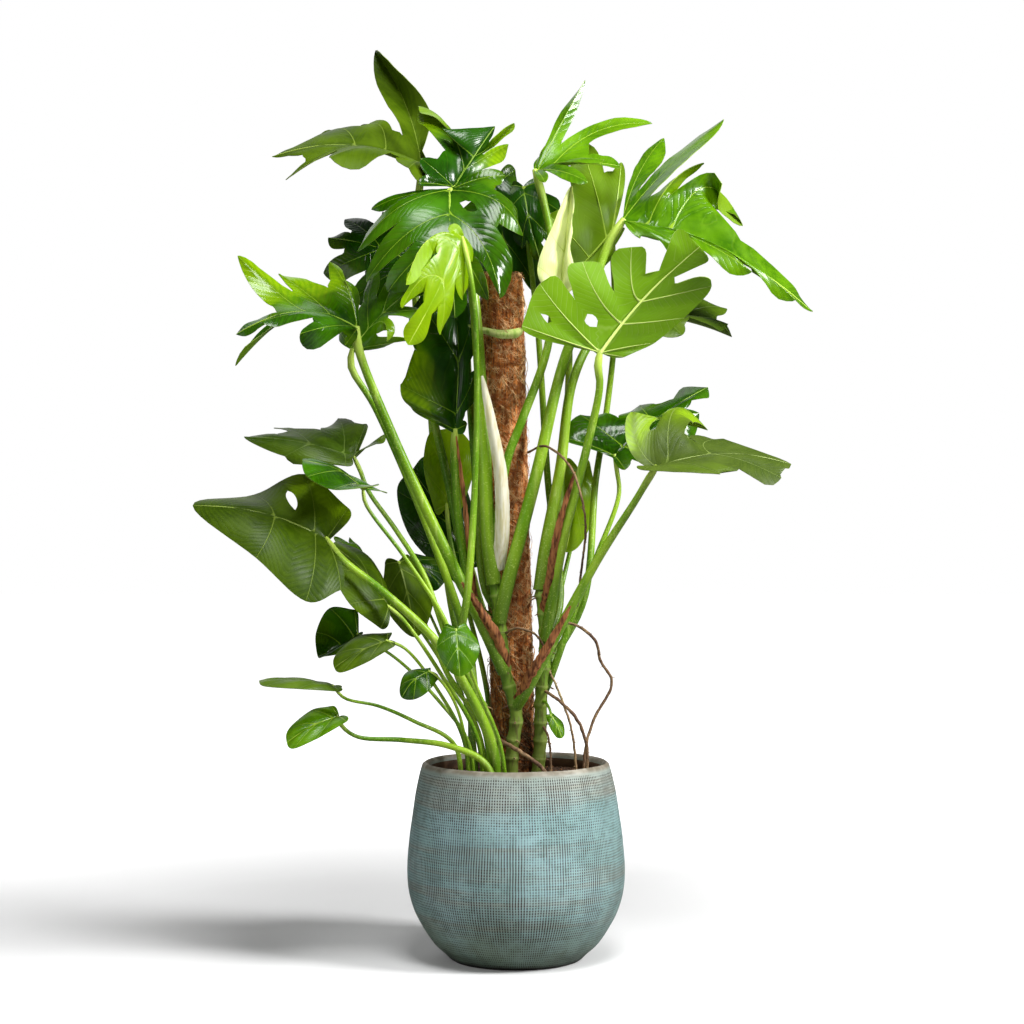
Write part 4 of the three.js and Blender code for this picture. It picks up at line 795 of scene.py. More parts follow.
        "right": (248, 20, 776),
        "bow": 14, "lobes": 3, "foot": 6, "knee": 3, "look": "deep", "wave": 2,
        "cuts": {"L0": 1},
        "widths": {"L0": 34, "L1": 40, "L2": 34},
        "tips": {"L0": (68, 20, 779), "L1": (98, 50, 815), "L2": (191, 90, 832), "R0": (163, -10, 730),
                 "R1": (217, 10, 745), "R2": (280, 60, 818)},
        "stalk": [(37, -34, 388), (50, -34, 418), (89, -28, 526), (123, -10, 607), (155, 12, 694),
                  (152, 16, 730)],
    },
    "leaf_behind_right": {
        "joint": (96, 96, 732), "tip": (77, 90, 605), "left": (124, 94, 678), "right": (49, 84, 685),
        "bow": 14, "lobes": 3, "cut": 1, "foot": 4, "knee": 3, "look": "bright",
        "stalk": [(34, -26, 381), (52, 44, 472), (81, 124, 592), (100, 128, 670), (109, 112, 717)],
    },
}

blade = {
    "thickness": 0.9,
    "rows": 20,          # from the midrib to the margin
    "columns": 4,        # from a vein to the middle between two veins
    "cut": 0.55,
    "gap": 0.14,
    "rootReach": 0.58,
    "curl": 0.15,
    "halfWidth": 0.19,   # of a lobe, as a share of the blade's length
    "slotEnd": 0.15,     # how soon a cut is open
    "basalMargin": 0.45,
    "straightEnd": (0.55, 2.1, 1.2),      # where a lobe's end begins, and how it curves
    "curvedEnd": (0.66, 2.8, 1.6),
    "bluntFrom": 0.7,
    "twist": 0.35,       # how far lobes turn about their veins
    "fold": 0.3,
    "quilting": 1.6,     # how far the blade swells between its veins
    "stalkPastJoint": 2.5,
    "stalkSteps": 40,
    "stalkSides": 12,
    "kneeSwelling": 0.16,
    "kneeAt": 0.95,      # along the stalk
    "kneeReach": 0.035,
    "ribSides": 6,
    "veinSides": 4,
    "veinEnd": 0.93,
}
halfOutline = [(0.05, -0.05), (0.3, -0.19), (0.62, -0.2), (0.9, -0.06), (1, 0.16), (0.96, 0.4), (0.8, 0.62),
               (0.54, 0.82), (0.24, 0.95), (0, 1)]


def outlineMarks():
    # the half outline as a smooth curve, with the share of its length at each point
    ends = [np.array(p, float) for p in halfOutline[:1] + halfOutline + halfOutline[-1:]]
    curve = []
    for a, b, c, d in zip(ends, ends[1:], ends[2:], ends[3:]):
        for t in np.linspace(0, 1, 40, endpoint=False):
            v0, v1 = (c - a) / 2, (d - b) / 2
            square, cube = -3 * b + 3 * c - 2 * v0 - v1, 2 * b - 2 * c + v0 + v1
            curve.append(cube * t ** 3 + square * t * t + v0 * t + b)
    curve = np.array(curve + [ends[-1]])
    along = np.concatenate([[0], np.cumsum(np.linalg.norm(np.diff(curve, axis=0), axis=1))])
    return curve, along / along[-1]


outlineCurve, outlineShare = outlineMarks()


def bladeVeins(leaf):
    # the midrib, and the vein of each lobe as the three points of a bend, from L0 over the tip to R0
    joint, tip, left, right = (np.array(leaf[key], float) for key in ("joint", "tip", "left", "right"))
    length = np.linalg.norm(tip - joint)
    along = (tip - joint) / length
    across = right - left
    across = unit(across - along * np.dot(across, along))
    up = np.cross(across, along)
    crest = (joint + tip) / 2 + up * 2 * leaf["bow"]

    def frameAt(station):
        forward = unit((crest - joint) * (1 - station) + (tip - crest) * station)
        return bezier(joint, crest, tip, station), forward, np.cross(across, forward)

    centre0, forward0, up0 = frameAt(0.2)

    def lobeVein(side, order):
        share = (order + 0.8) / (leaf["lobes"] + 0.8)
        mark = [np.interp(share, outlineShare, outlineCurve[:, k]) for k in (0, 1)]
        reach = (left if side == "L" else right) - centre0
        centre, forward, frameUp = frameAt(max(mark[1], 0))
        spread = (across * np.dot(reach, across) + frameUp * np.dot(reach, up0)
                  + forward * np.dot(reach, forward0))
        root = bezier(joint, crest, tip, max(0, leaf.get("rootReach", blade["rootReach"]) * mark[1] - 0.03))
        end = centre + spread * mark[0]
        if mark[1] < 0:
            end = end + forward * mark[1] * length
        end = np.array(leaf.get("tips", {}).get(side + str(order), end), float)
        far = np.linalg.norm(end - root)
        bend = root + (end - root) * 0.55 - forward * 0.18 * max(mark[1], -0.1) * far
        bend = bend + frameUp * leaf.get("curl", blade["curl"]) * far
        bend = np.array(leaf.get("bends", {}).get(side + str(order), bend), float)
        return root, bend, end

    count = leaf["lobes"]
    veins = [lobeVein("L", k) for k in range(count)]
    veins.append((bezier(joint, crest, tip, 0.68), bezier(joint, crest, tip, 0.84), tip))
    veins += [lobeVein("R", k) for k in reversed(range(count))]
    return veins, (joint, crest, tip), length, up


def lobeEnd(share, start, power, root):
    # a lobe narrows to its point: straight on the side towards the leaf's tip, in a curve on the other side
    end = max(0.0, (share - start) / (1 - start))
    return max(0.0, 1 - end ** power) ** (1 / root)


def turned(line, axis, angle):
    return line * math.cos(angle) + np.cross(axis, line) * math.sin(angle)


def addBlade(bm, layers, leaf, veins, rib, length, rng):
    count, last, rows, columns = leaf["lobes"], len(veins) - 1, blade["rows"], blade["columns"]
    shares = [t / rows for t in range(rows + 1)]
    shares = [t if t < 0.7 else 0.7 + 0.3 * math.sin((t - 0.7) / 0.3 * math.pi / 2) for t in shares]
    table = []      # the points of all veins at each share, with two more made up on both sides
    for share in shares:
        p = [bezier(*vein, share) for vein in veins]
        table.append([3 * p[0] - 2 * p[1], 2 * p[0] - p[1]] + p + [2 * p[-1] - p[-2], 3 * p[-1] - 2 * p[-2]])

    def surface(row, spot):
        order = math.floor(spot)
        f = spot - order
        a, b, c, d = (table[row][min(max(order + k + 2, 0), last + 4)] for k in (-1, 0, 1, 2))
        square, cube = 2 * a - 5 * b + 4 * c - d, 3 * b - a - 3 * c + d
        return 0.5 * (2 * b + (c - a) * f + square * f * f + cube * f ** 3)

    lines = [bezier(*vein, np.linspace(0, 1, 11)) for vein in veins]

    def lobeName(order):
        return "T" if order == count else ("L%d" % order if order < count else "R%d" % (2 * count - order))

    def lobeRow(order, side, row):
        # the points from a vein out to its lobe's edge, and whether that edge is free
        share = shares[row]
        centre = table[row][order + 2]
        boundary = order + (side - 1) // 2
        steps = [column / columns for column in range(columns + 1)]
        if boundary < 0 or boundary >= last:
            reach = blade["basalMargin"] * math.sqrt(max(0.0, 1 - share ** 3))
            return [surface(row, order + 0.5 * side * reach * step) for step in steps], True
        near = lobeName(boundary if boundary < count else boundary + 1)
        hole = leaf.get("holes", {}).get(near)
        dip = 1.0
        if hole and abs(share - hole[0]) < hole[1]:
            dip = 1 - hole[2] * math.sqrt(1 - ((share - hole[0]) / hole[1]) ** 2)
        joined = [surface(row, order + 0.5 * side * dip * step) for step in steps]
        cut = leaf.get("cuts", {}).get(near, leaf.get("cut", blade["cut"]))
        if share <= cut or cut >= 1:
            return joined, dip < 1
        # beyond the cut the lobe has a width of its own, square to its vein, with a gap to its neighbour
        distance = np.min(np.linalg.norm(lines[order + side] - centre, axis=1))
        room = 0.5 * (1 - leaf.get("gap", blade["gap"])) * distance
        widest = leaf.get("widths", {}).get(lobeName(order), blade["halfWidth"] * length)
        straight = order == count or (side > 0) == (order < count)
        ending = blade["straightEnd"] if straight else blade["curvedEnd"]
        if "blunt" in leaf:
            ending = (blade["bluntFrom"], leaf["blunt"], leaf["blunt"])
        width = min(widest, room) * lobeEnd(share, *ending)
        root, bend, end = veins[order]
        forward = unit((bend - root) * (1 - share) + (end - bend) * share)
        out = joined[-1] - centre
        out = unit(out - forward * np.dot(out, forward))
        twist = leaf.get("twists", {}).get(lobeName(order), blade["twist"] * math.sin(2.1 * order + 1))
        twist = twist + side * leaf.get("fold", blade["fold"])
        out = turned(out, forward, twist * (share - cut) / (1 - cut))
        opened = min(1.0, (share - cut) / blade["slotEnd"])
        opened = opened * opened * (3 - 2 * opened)
        return [a + (centre + out * width * step - a) * opened for a, step in zip(joined, steps)], True

    # a random tone for each lobe unless given, and given high tints paint light onto lobes that caught it
    tints = [leaf.get("tints", {}).get(lobeName(k), rng.uniform(0, 0.5)) for k in range(last + 1)]
    corners, faces = {}, []
    ribLine = bezier(*rib, np.linspace(0, 1, 60))
    for order in range(last + 1):
        for side in (-1, 1):
            grid = []
            for row, share in enumerate(shares):
                points, free = lobeRow(order, side, row)
                line = []
                for column, point in enumerate(points):
                    between = column / columns
                    key = tuple(np.round(point * 50).astype(int))
                    if key not in corners:
                        v = corners[key] = bm.verts.new(point * mm)
                        toRib = np.min(np.linalg.norm(ribLine - point, axis=1))
                        toVein = np.linalg.norm(point - table[row][order + 2]) if share > 0.02 else 9.0
                        v[layers["rib"]] = min(toRib * 0.8, toVein)
                        v[layers["along"]] = share
                        tint = tints[order] * min(1.0, share * 1.6)
                        v[layers["tint"]] = tint * (1 - 0.5 * between * (share < 0.5))
                        atEdge = row == rows or (column == columns and free)
                        v[layers["edge"]] = 1.0 if atEdge else 0.9 * between
                        v[layers["swell"]] = (math.sin(between * math.pi / 2) ** 2 * min(share * 5, 1)
                                              * min((1 - share) * 4, 1))
                    line.append(corners[key])
                grid.append(line)
            for row in range(rows):
                for column in range(columns):
                    loop = (grid[row][column], grid[row][column + 1], grid[row + 1][column + 1],
                            grid[row + 1][column])
                    loop = list(dict.fromkeys(loop if side > 0 else reversed(loop)))
                    if len(loop) > 2 and not bm.faces.get(loop):
                        faces.append(bm.faces.new(loop))

    # the blade swells between its veins and waves towards its margin
    bm.normal_update()
    seed = Vector((rng.uniform(0, 50), rng.uniform(0, 50), rng.uniform(0, 50)))
    moves = []
    for v in corners.values():
        swell = v[layers["swell"]] * blade["quilting"] * min(1, length / 110)
        wave = noise.noise(v.co / (26 * mm) + seed) * leaf.get("wave", 1.0)
        wave = wave * min(1, v[layers["edge"]] * v[layers["along"]] * 1.3)
        moves.append((v, v.normal * (swell + wave) * mm))
    for v, move in moves:
        v.co += move
    thicken(bm, faces, blade["thickness"], 1)


def makeLeaf(name, leaf):
    rng = random.Random(name)
    bm, layers = newMesh("rib", "along", "edge", "swell", "tint")
    veins, rib, length, up = bladeVeins(leaf)
    addBlade(bm, layers, leaf, veins, rib, length, rng)
    joint, last = np.array(leaf["joint"], float), np.array(leaf["stalk"][-1], float)
    past = joint + unit(joint - last) * blade["stalkPastJoint"]
    path = smoothPath(list(leaf["stalk"]) + [past], blade["stalkSteps"])
    share = np.linspace(0, 1, len(path))
    radii = leaf["knee"] + (leaf["foot"] - leaf["knee"]) * (1 - share)
    toKnee = (share - blade["kneeAt"]) / blade["kneeReach"]
    radii = radii * (1 + blade["kneeSwelling"] * np.exp(-toKnee ** 2))
    radii[-1] = radii[-1] * 0.7
    tube(bm, path, radii, blade["stalkSides"], 2, along=share)
    # the midrib and the side veins stand out under the blade
    steps = np.linspace(0, 1, 18)
    thick = leaf["knee"] * 0.45 * (1 - steps) ** 0.8 + 0.4
    line = bezier(*rib, steps) - up * (thick - 0.3)[:, None]
    tube(bm, line, thick, blade["ribSides"], 3, along=steps)
    for vein in veins:
        steps = np.linspace(0.0, blade["veinEnd"], 10)
        thick = min(1.0, length * 0.008) * (1 - steps) ** 0.9 + 0.25
        line = bezier(*vein, steps) - up * (0.3 + 0.35 * thick)[:, None]
        tube(bm, line, thick, blade["veinSides"], 3, along=steps)
    lookName = leaf.get("look", "mid")
    top, under, ribs = materialsOf(lookName)
    piece = makeObject(name, bm, [top, under, stalkGreen, ribs])
    place(piece, name)


for leafName, leafData in leaves.items():
    makeLeaf(leafName, leafData)
print("leaves made:", len(leaves))


# Pot: thrown stoneware with a woven, incised face under a weathered blue-green glaze

pot = {
    "outside": [(0, 0), (99, 0), (102, 3), (110, 11), (123, 23), (140, 48), (153, 74), (161, 103),
                (163, 132), (160, 175), (155.5, 212), (151, 245), (146.5, 266), (143.5, 278)],
    "lip": [(141.5, 285), (139.5, 290.5), (136, 293), (132.5, 291.5), (130.5, 287), (130.2, 280)],
    "cavity": [(134, 264), (139, 245), (144, 210), (148, 175), (151, 132), (149, 103), (139, 73),
               (109, 27), (88, 14), (0, 14)],
    "steps": 144,
    "wavy": 0.9,
    "pitch": 3.9,        # of the weave
    "strands": 248,
    "rowDrift": 5.0, "strandDrift": 5.0,
    "wallTop": 0.280, "rimFrom": 0.2855, "footTo": 0.013,      # where the finish changes at the wall top and the rim, and where the painted shade at the foot ends, in metres
    "glaze": (138, 172, 171), "glazePale": (160, 195, 198), "glazeDeep": (110, 136, 129),
    # the low colour paints shade, darker and browner towards the bottom
    "grey": (166, 160, 142), "low": (116, 130, 106), "pit": (44, 28, 18),
    "rim": (124, 116, 100), "rimPale": (166, 160, 146),
    # the foot line's colour paints shade where the pot meets the floor
    "inside": (104, 78, 56), "insideDark": (64, 46, 34), "footShade": (34, 27, 22),
}


def denser(profile, count):
    # more points on the same line, rounded between its corners
    pts = [(r, z, 0.0) for r, z in profile]
    return [(max(0.0, float(p[0])), float(p[1])) for p in smoothPath(pts, count)]


def potMaterial():
    n = Nodes("pot_glaze_woven")
    x, y, z = n.axes()
    rows = n.times(z, 2 * math.pi / (pot["pitch"] * mm))
    weft = n.math("SINE", n.plus(rows, n.times(n.noise(26, 2), pot["rowDrift"])))
    turns = n.times(n.math("ARCTAN2", y, x), pot["strands"])
    warp = n.math("SINE", n.plus(turns, n.times(n.noise(21, 2), pot["strandDrift"])))
    holes = n.times(n.remap(weft, -0.45, 0.25), n.remap(warp, -0.25, 0.35))
    onWall = n.remap(z, pot["wallTop"], pot["wallTop"] + 0.006, 1.0, 0.0)
    cloud = n.noise(8, 4, 0.62)
    bands = n.noise(15, 4, 0.7, (0.10, 0.10, 2.2))
    threads = n.noise(55, 3, 0.7, (0.8, 0.8, 1.3))
    worn = n.noise(60, 3, 0.6, (0.5, 0.5, 1.0))
    upright = n.noise(40, 3, 0.6, (1.0, 1.0, 0.3))
    speck = n.noise(330, 2, 0.6)
    colour = n.mix(n.remap(cloud, 0.36, 0.66), pot["glaze"], pot["glazePale"])
    colour = n.mix(n.remap(bands, 0.46, 0.66, 0.0, 0.5), colour, pot["grey"])
    colour = n.mix(n.remap(threads, 0.5, 0.7, 0.0, 0.45), colour, pot["glazeDeep"])
    # painted shade: darker and browner towards the bottom, which the light from above reaches less
    low = n.plus(z, n.times(cloud, 0.12))
    colour = n.mix(n.remap(low, 0.06, 0.19, 0.75, 0.0), colour, pot["low"])
    high = n.plus(low, n.times(worn, 0.04))
    colour = n.mix(n.remap(high, 0.30, 0.37, 0.0, 0.55), colour, pot["grey"])
    strength = n.plus(n.remap(bands, 0.38, 0.58, 0.55, 1.0), n.remap(speck, 0.42, 0.6, -0.1, 0.4))
    strength = n.times(n.times(strength, onWall), n.remap(threads, 0.36, 0.6, 0.65, 1.1))
    furrows = n.times(n.remap(warp, -0.5, 0.7), n.remap(upright, 0.42, 0.6, 0.04, 0.55))
    furrows = n.times(furrows, n.remap(bands, 0.4, 0.6, 0.45, 1.2))
    pits = n.plus(n.times(holes, strength), n.times(furrows, onWall))
    pits = n.math("MINIMUM", pits, 1.0)
    colour = n.mix(pits, colour, pot["pit"])
    rimColour = n.mix(n.remap(n.noise(34, 3), 0.42, 0.66), pot["rim"], pot["rimPale"])
    uneven = n.plus(z, n.times(worn, 0.006))
    colour = n.mix(n.remap(uneven, pot["rimFrom"], pot["rimFrom"] + 0.008), colour, rimColour)
    # painted shade: a near-black band at the foot, where it meets the floor
    colour = n.mix(n.remap(uneven, 0.004, pot["footTo"], 1.0, 0.0), colour, pot["footShade"])
    dents = n.plus(n.times(holes, 0.6), n.times(n.remap(warp, -0.5, 0.7), 0.6))
    height = n.math("SUBTRACT", n.times(n.noise(300, 2), 0.4), n.times(dents, onWall))
    normal = n.bump(height, 0.6, 0.9)
    return n.finish(colour, n.remap(worn, 0.35, 0.7, 0.42, 0.66), normal, 0.4)


def potInside():
    n = Nodes("pot_inside")
    patch = n.noise(30, 3)
    colour = n.mix(n.remap(patch, 0.38, 0.64), pot["inside"], pot["insideDark"])
    return n.finish(colour, n.spread(patch, 0.5, 0.7), n.bump(n.noise(200, 2), 0.3, 0.8), 0.35)


def roughen(bm, size, scale, seed):
    # moves every corner along its normal by soft noise
    bm.normal_update()
    moves = [v.normal * noise.noise(v.co / (scale * mm) + Vector((seed, 0, 0))) * size * mm for v in bm.verts]
    for v, move in zip(bm.verts, moves):
        v.co += move


potBm = spun(denser(pot["outside"] + pot["lip"] + pot["cavity"], 150), pot["steps"])
roughen(potBm, pot["wavy"], 60, 3)
for face in potBm.faces:
    middle = face.calc_center_median()
    outward = face.normal.x * middle.x + face.normal.y * middle.y
    face.material_index = int((outward < 0 and middle.z < 0.284) or (face.normal.z > 0.5 and middle.z < 0.1))
place(makeObject("pot_glazed", potBm, [potMaterial(), potInside()]), "pot")
print("pot made")


# Coir pole: a packed core with loose fibres that stand a little off it

pole = {
    "foot": (3, 0, 45), "top": (-22, 0, 1022), "radius": 31.0,
    "rows": 260, "sides": 90,
    "lumps": 1.6, "grit": 0.9, "ropes": 7, "ropeTwist": 46, "ropeDepth": 0.5, "looseTop": 30,
    "fibres": 3400, "fibreRadius": (0.4, 0.95), "fibreLength": (20, 80), "fibreSteps": 6,
    "topFibres": 160, "highest": 1026,
    "lift": (0.3, 2.0), "strayLift": (2, 6), "lying": 0.88,
    "dark": (128, 68, 30), "mid": (226, 142, 74), "pale": (252, 208, 150), "soaked": (60, 38, 20),
    "fibre": (168, 96, 44),
    "soakedTo": 0.27,     # metres above the floor
}


def packedCoir():
    n = Nodes("coir_packed")
    strands = n.noise(330, 3, 0.65, (1, 1, 0.10))
    slanted = n.noise(240, 3, 0.6, (1, 1, 0.5))
    patch = n.noise(22, 3)
    colour = n.mix(n.remap(strands, 0.36, 0.6), pole["dark"], pole["mid"])
    colour = n.mix(n.times(n.remap(slanted, 0.52, 0.7), 0.8), colour, pole["pale"])
    colour = n.mix(n.remap(patch, 0.5, 0.75, 0.0, 0.55), colour, pole["dark"])
    damp = n.plus(n.axes()[2], n.times(patch, 0.14))
    soaked = n.remap(damp, pole["soakedTo"], pole["soakedTo"] + 0.22, 0.85, 0.0)
    colour = n.mix(soaked, colour, pole["soaked"])
    height = n.plus(strands, n.times(slanted, 0.6))
    return n.finish(colour, n.spread(patch, 0.72, 0.9), n.bump(height, 0.9, 2.2), 0.2)


def looseCoir():
    n = Nodes("coir_fibre")
    colour = n.mix(n.remap(n.noise(90, 2), 0.38, 0.62), pole["fibre"], pole["pale"])
    colour = n.mix(n.remap(n.axes()[2], 0.30, 0.5, 0.85, 0.0), colour, pole["soaked"])
    return n.finish(colour, n.spread(n.noise(50, 2), 0.55, 0.75), None, 0.3)


def poleFrame(share):
    foot, top = np.array(pole["foot"], float), np.array(pole["top"], float)
    axis = unit(top - foot)
    side = unit(np.cross(axis, [0, 1, 0]))
    return foot + (top - foot) * share, side, np.cross(axis, side), axis


def coirCore():
    length = np.linalg.norm(np.array(pole["top"], float) - np.array(pole["foot"], float))
    radius = pole["radius"]
    profile = [(0, 0)] + [(radius, z) for z in np.linspace(0, length - 14, pole["rows"])]
    profile += [(radius * share, length - below) for share, below in ((0.96, 9), (0.84, 4), (0.6, 1), (0, 0))]
    bm = spun(profile, pole["sides"])
    # ropes of packed fibre that slant round the pole, and small lumps
    for v in bm.verts:
        angle = math.atan2(v.co.y, v.co.x)
        spot = Vector((v.co.x / 0.010, v.co.y / 0.010, v.co.z / 0.05))
        lump = noise.noise(spot) * pole["lumps"] + noise.noise(v.co / 0.006) * pole["grit"]
        lump = lump + math.sin(angle * pole["ropes"] + v.co.z * pole["ropeTwist"]) * pole["ropeDepth"]
        flat = math.hypot(v.co.x, v.co.y)
        if flat > 1e-6:
            v.co.x += v.co.x / flat * lump * mm
            v.co.y += v.co.y / flat * lump * mm
        if v.co.z > (length - pole["looseTop"]) * mm:
            v.co.z += noise.noise(v.co / 0.007) * 3.5 * mm
    foot, side, forward, axis = poleFrame(0)
    turn = Matrix((side, -forward, axis)).transposed()
    for v in bm.verts:
        v.co = turn @ v.co + Vector(foot) * mm
    bmesh.ops.recalc_face_normals(bm, faces=bm.faces)
    return makeObject("coir_pole_fibrous", bm, [packedCoir(), looseCoir()], 180)


def fibreCorners(rng, k):
    # the three-cornered rings of one loose fibre, which slants round the pole or lies over its top
    length, thick = rng.uniform(*pole["fibreLength"]), rng.uniform(*pole["fibreRadius"])
    atTop = k < pole["topFibres"]
    start = rng.uniform(0.985, 0.999) if atTop else rng.uniform(0.24, 0.99)
    startAngle = rng.uniform(0, 2 * math.pi)
    steep = rng.uniform(0.5, 1.4) if atTop else rng.uniform(-1.1, 1.1)
    lift = rng.uniform(*pole["lift"]) if rng.random() < pole["lying"] else rng.uniform(*pole["strayLift"])
    centre, side, forward, axis = poleFrame(start)
    corners = []
    for i in range(pole["fibreSteps"] + 1):
        t = i / pole["fibreSteps"]
        rise = length * t * math.sin(steep) + (4 * math.sin(t * 3 + k) if not atTop else 0)
        angle = startAngle + length * t * math.cos(steep) / pole["radius"] * (0.4 if atTop else 1)
        stand = pole["radius"] + lift * math.sin(t * math.pi) ** 0.7 + (1.2 * t if k % 5 == 0 else 0)
        if atTop:
            stand = pole["radius"] * (0.95 - 0.5 * t * rng.uniform(0.2, 1)) + lift
            rise = min(rise, 15)
        out = side * math.cos(angle) + forward * math.sin(angle)
        point = centre + axis * rise + out * stand
        if point[2] > pole["highest"]:
            point[2] = pole["highest"] - (k % 7)
        sideways = np.cross(axis, out)
        width = thick * (1 - 0.75 * t)
        back = axis * width * 0.4
        corners += [point + out * width, point + sideways * width - out * width * 0.5 + back,
                    point - sideways * width - out * width * 0.5 - back]
    return corners


def coirPole():
    rng = random.Random(7)
    core = coirCore()
    steps = pole["fibreSteps"]
    corners, loops = [], []
    for k in range(pole["fibres"]):
        base = len(corners)
        corners += fibreCorners(rng, k)
        for i in range(steps):
            for j in range(3):
                a, b = base + i * 3 + j, base + i * 3 + (j + 1) % 3
                loops.append((a, b, b + 3, a + 3))
        loops.append((base + 2, base + 1, base))
        loops.append((base + steps * 3, base + steps * 3 + 1, base + steps * 3 + 2))
    fibres = bpy.data.meshes.new("fibres")
    fibres.from_pydata([tuple(c * mm for c in co) for co in corners], [], loops)
    both = bmesh.new()
    both.from_mesh(fibres)
    bmesh.ops.recalc_face_normals(both, faces=both.faces)
    for face in both.faces:
        face.material_index = 1
        face.smooth = True
    both.from_mesh(core.data)
    both.to_mesh(core.data)
    both.free()
    bpy.data.meshes.remove(fibres)
    place(core, "coir_pole")


coirPole()
print("pole made")


# Climbing stems, with a swollen ring and a dark scar at each node

stems = {
    "left": {"radius": 11, "seed": 4, "points": [
        (-9, -40, 152), (-7, -44, 256), (-5, -46, 321), (0, -48, 369), (-16, -50, 431), (-24, -52, 505),
        (-33, -50, 574)]},
    "right": {"radius": 11, "seed": 9, "points": [
        (33, -24, 149), (31, -28, 254), (36, -30, 328), (37, -34, 388), (43, -40, 463), (40, -40, 522),
        (35, -40, 559)]},
    "young": {"radius": 8, "seed": 14, "points": [
        (-27, -64, 155), (-28, -66, 259), (-31, -68, 325), (-43, -72, 369), (-65, -78, 412), (-76, -82, 439),
        (-88, -84, 465)]},
}
stemLook = {
    "steps": 170, "sides": 28, "taper": 0.14,
    "firstNode": 18, "nodeSpacing": 27, "swelling": 0.16, "swellingReach": 4.2,
    "groove": 0.08, "grooveReach": 1.1, "scarReach": 1.6,
    "nubs": 3, "nubsAbove": 285,      # root nubs at each node above the soil
    "green": (104, 142, 34), "olive": (126, 152, 48), "bark": (96, 108, 40), "scar": (66, 46, 26),
    "ring": (150, 166, 84),
}


def stemMaterial():
    n = Nodes("climbing_stem")
    ring = n.attribute("ring")
    patch, grain = n.noise(30, 3), n.noise(220, 3, 0.6, (1, 1, 0.18))
    colour = n.mix(n.remap(patch, 0.36, 0.66), stemLook["green"], stemLook["olive"])
    low = n.plus(n.axes()[2], n.times(patch, 0.12))
    colour = n.mix(n.remap(low, 0.36, 0.52, 0.85, 0.0), colour, stemLook["bark"])
    colour = n.mix(n.times(n.remap(grain, 0.52, 0.66), 0.6), colour, stemLook["scar"])
    colour = n.mix(n.remap(ring, 0.1, 0.6, 0.0, 0.5), colour, stemLook["ring"])
    colour = n.mix(n.remap(ring, 0.86, 0.97), colour, stemLook["scar"])
    height = n.math("SUBTRACT", grain, n.times(n.remap(ring, 0.86, 0.97), 1.2))
    return n.finish(colour, n.spread(patch, 0.45, 0.65), n.bump(height, 0.6, 1.2), 0.35)


stemBrown = stemMaterial()
rootLook = {
    "steps": 90, "sides": 10, "wander": 0.9, "bumps": 0.22,
    "sideRoots": 10, "sideReach": (2, 5),
    "bark": (98, 72, 52), "pale": (150, 122, 88), "dark": (56, 38, 26), "wood": (172, 152, 108),
}


def rootMaterial(name, bark, pale):
    n = Nodes(name)
    flecks, patch = n.noise(260, 3, 0.6), n.noise(30, 2)
    colour = n.mix(n.remap(patch, 0.38, 0.64), bark, pale)
    colour = n.mix(n.remap(flecks, 0.5, 0.66, 0.0, 0.8), colour, rootLook["dark"])
    return n.finish(colour, n.spread(patch, 0.6, 0.8), n.bump(flecks, 0.7, 0.8), 0.25)


rootBrown = rootMaterial("aerial_root_bark", rootLook["bark"], rootLook["pale"])
rootPale = rootMaterial("aerial_root_wood", rootLook["pale"], rootLook["wood"])


def makeStem(name, stem):
    rng = random.Random(stem["seed"])
    path = smoothPath(stem["points"], stemLook["steps"])
    gone = np.concatenate([[0], np.cumsum(np.linalg.norm(np.diff(path, axis=0), axis=1))])
    nodes = np.arange(stemLook["firstNode"], gone[-1], stemLook["nodeSpacing"]) + rng.uniform(-2, 2)
    nearest = np.min(np.abs(gone[:, None] - nodes[None]), axis=1)
    swelling = np.exp(-(nearest / stemLook["swellingReach"]) ** 2)
    radii = stem["radius"] * (1 - stemLook["taper"] * gone / gone[-1])
    radii = radii * (0.90 + stemLook["swelling"] * swelling)
    radii = radii * (1 - stemLook["groove"] * np.exp(-(nearest / stemLook["grooveReach"]) ** 2))
    radii[-6:] = radii[-6:] * np.array([0.98, 0.93, 0.84, 0.7, 0.5, 0.2])
    bm, _ = newMesh("ring", "along")
    scars = np.exp(-(nearest / stemLook["scarReach"]) ** 2)
    tube(bm, path, radii, stemLook["sides"], 0, ring=scars, along=gone / gone[-1])
    roughen(bm, 0.7, 9, stem["seed"])
    # root nubs by the nodes
    for spot in nodes:
        row = int(np.argmin(np.abs(gone - spot)))
        if path[row][2] < stemLook["nubsAbove"]:
            continue
        for _ in range(stemLook["nubs"]):
            angle = rng.uniform(0, 2 * math.pi)
            out = np.array([math.cos(angle), math.sin(angle), rng.uniform(-0.5, 0.1)])
            start = path[row] + out * stem["radius"] * 0.6
            reach = stem["radius"] * 0.6 + rng.uniform(2, 6)
            line = [start, start + out * reach * 0.6, start + out * reach + np.array([0, 0, -1.5])]
            tube(bm, smoothPath(line, 4), np.linspace(1.7, 0.5, 5), 6, 1, ring=0, along=0)
    piece = makeObject("stem_%s_ringed" % name, bm, [stemBrown, rootBrown])
    place(piece, "stem_" + name)


for stemName, stem in stems.items():
    makeStem(stemName, stem)
print("stems made")


# Sheaths: the thin cases of old leaves, fresh and pale or dry and torn

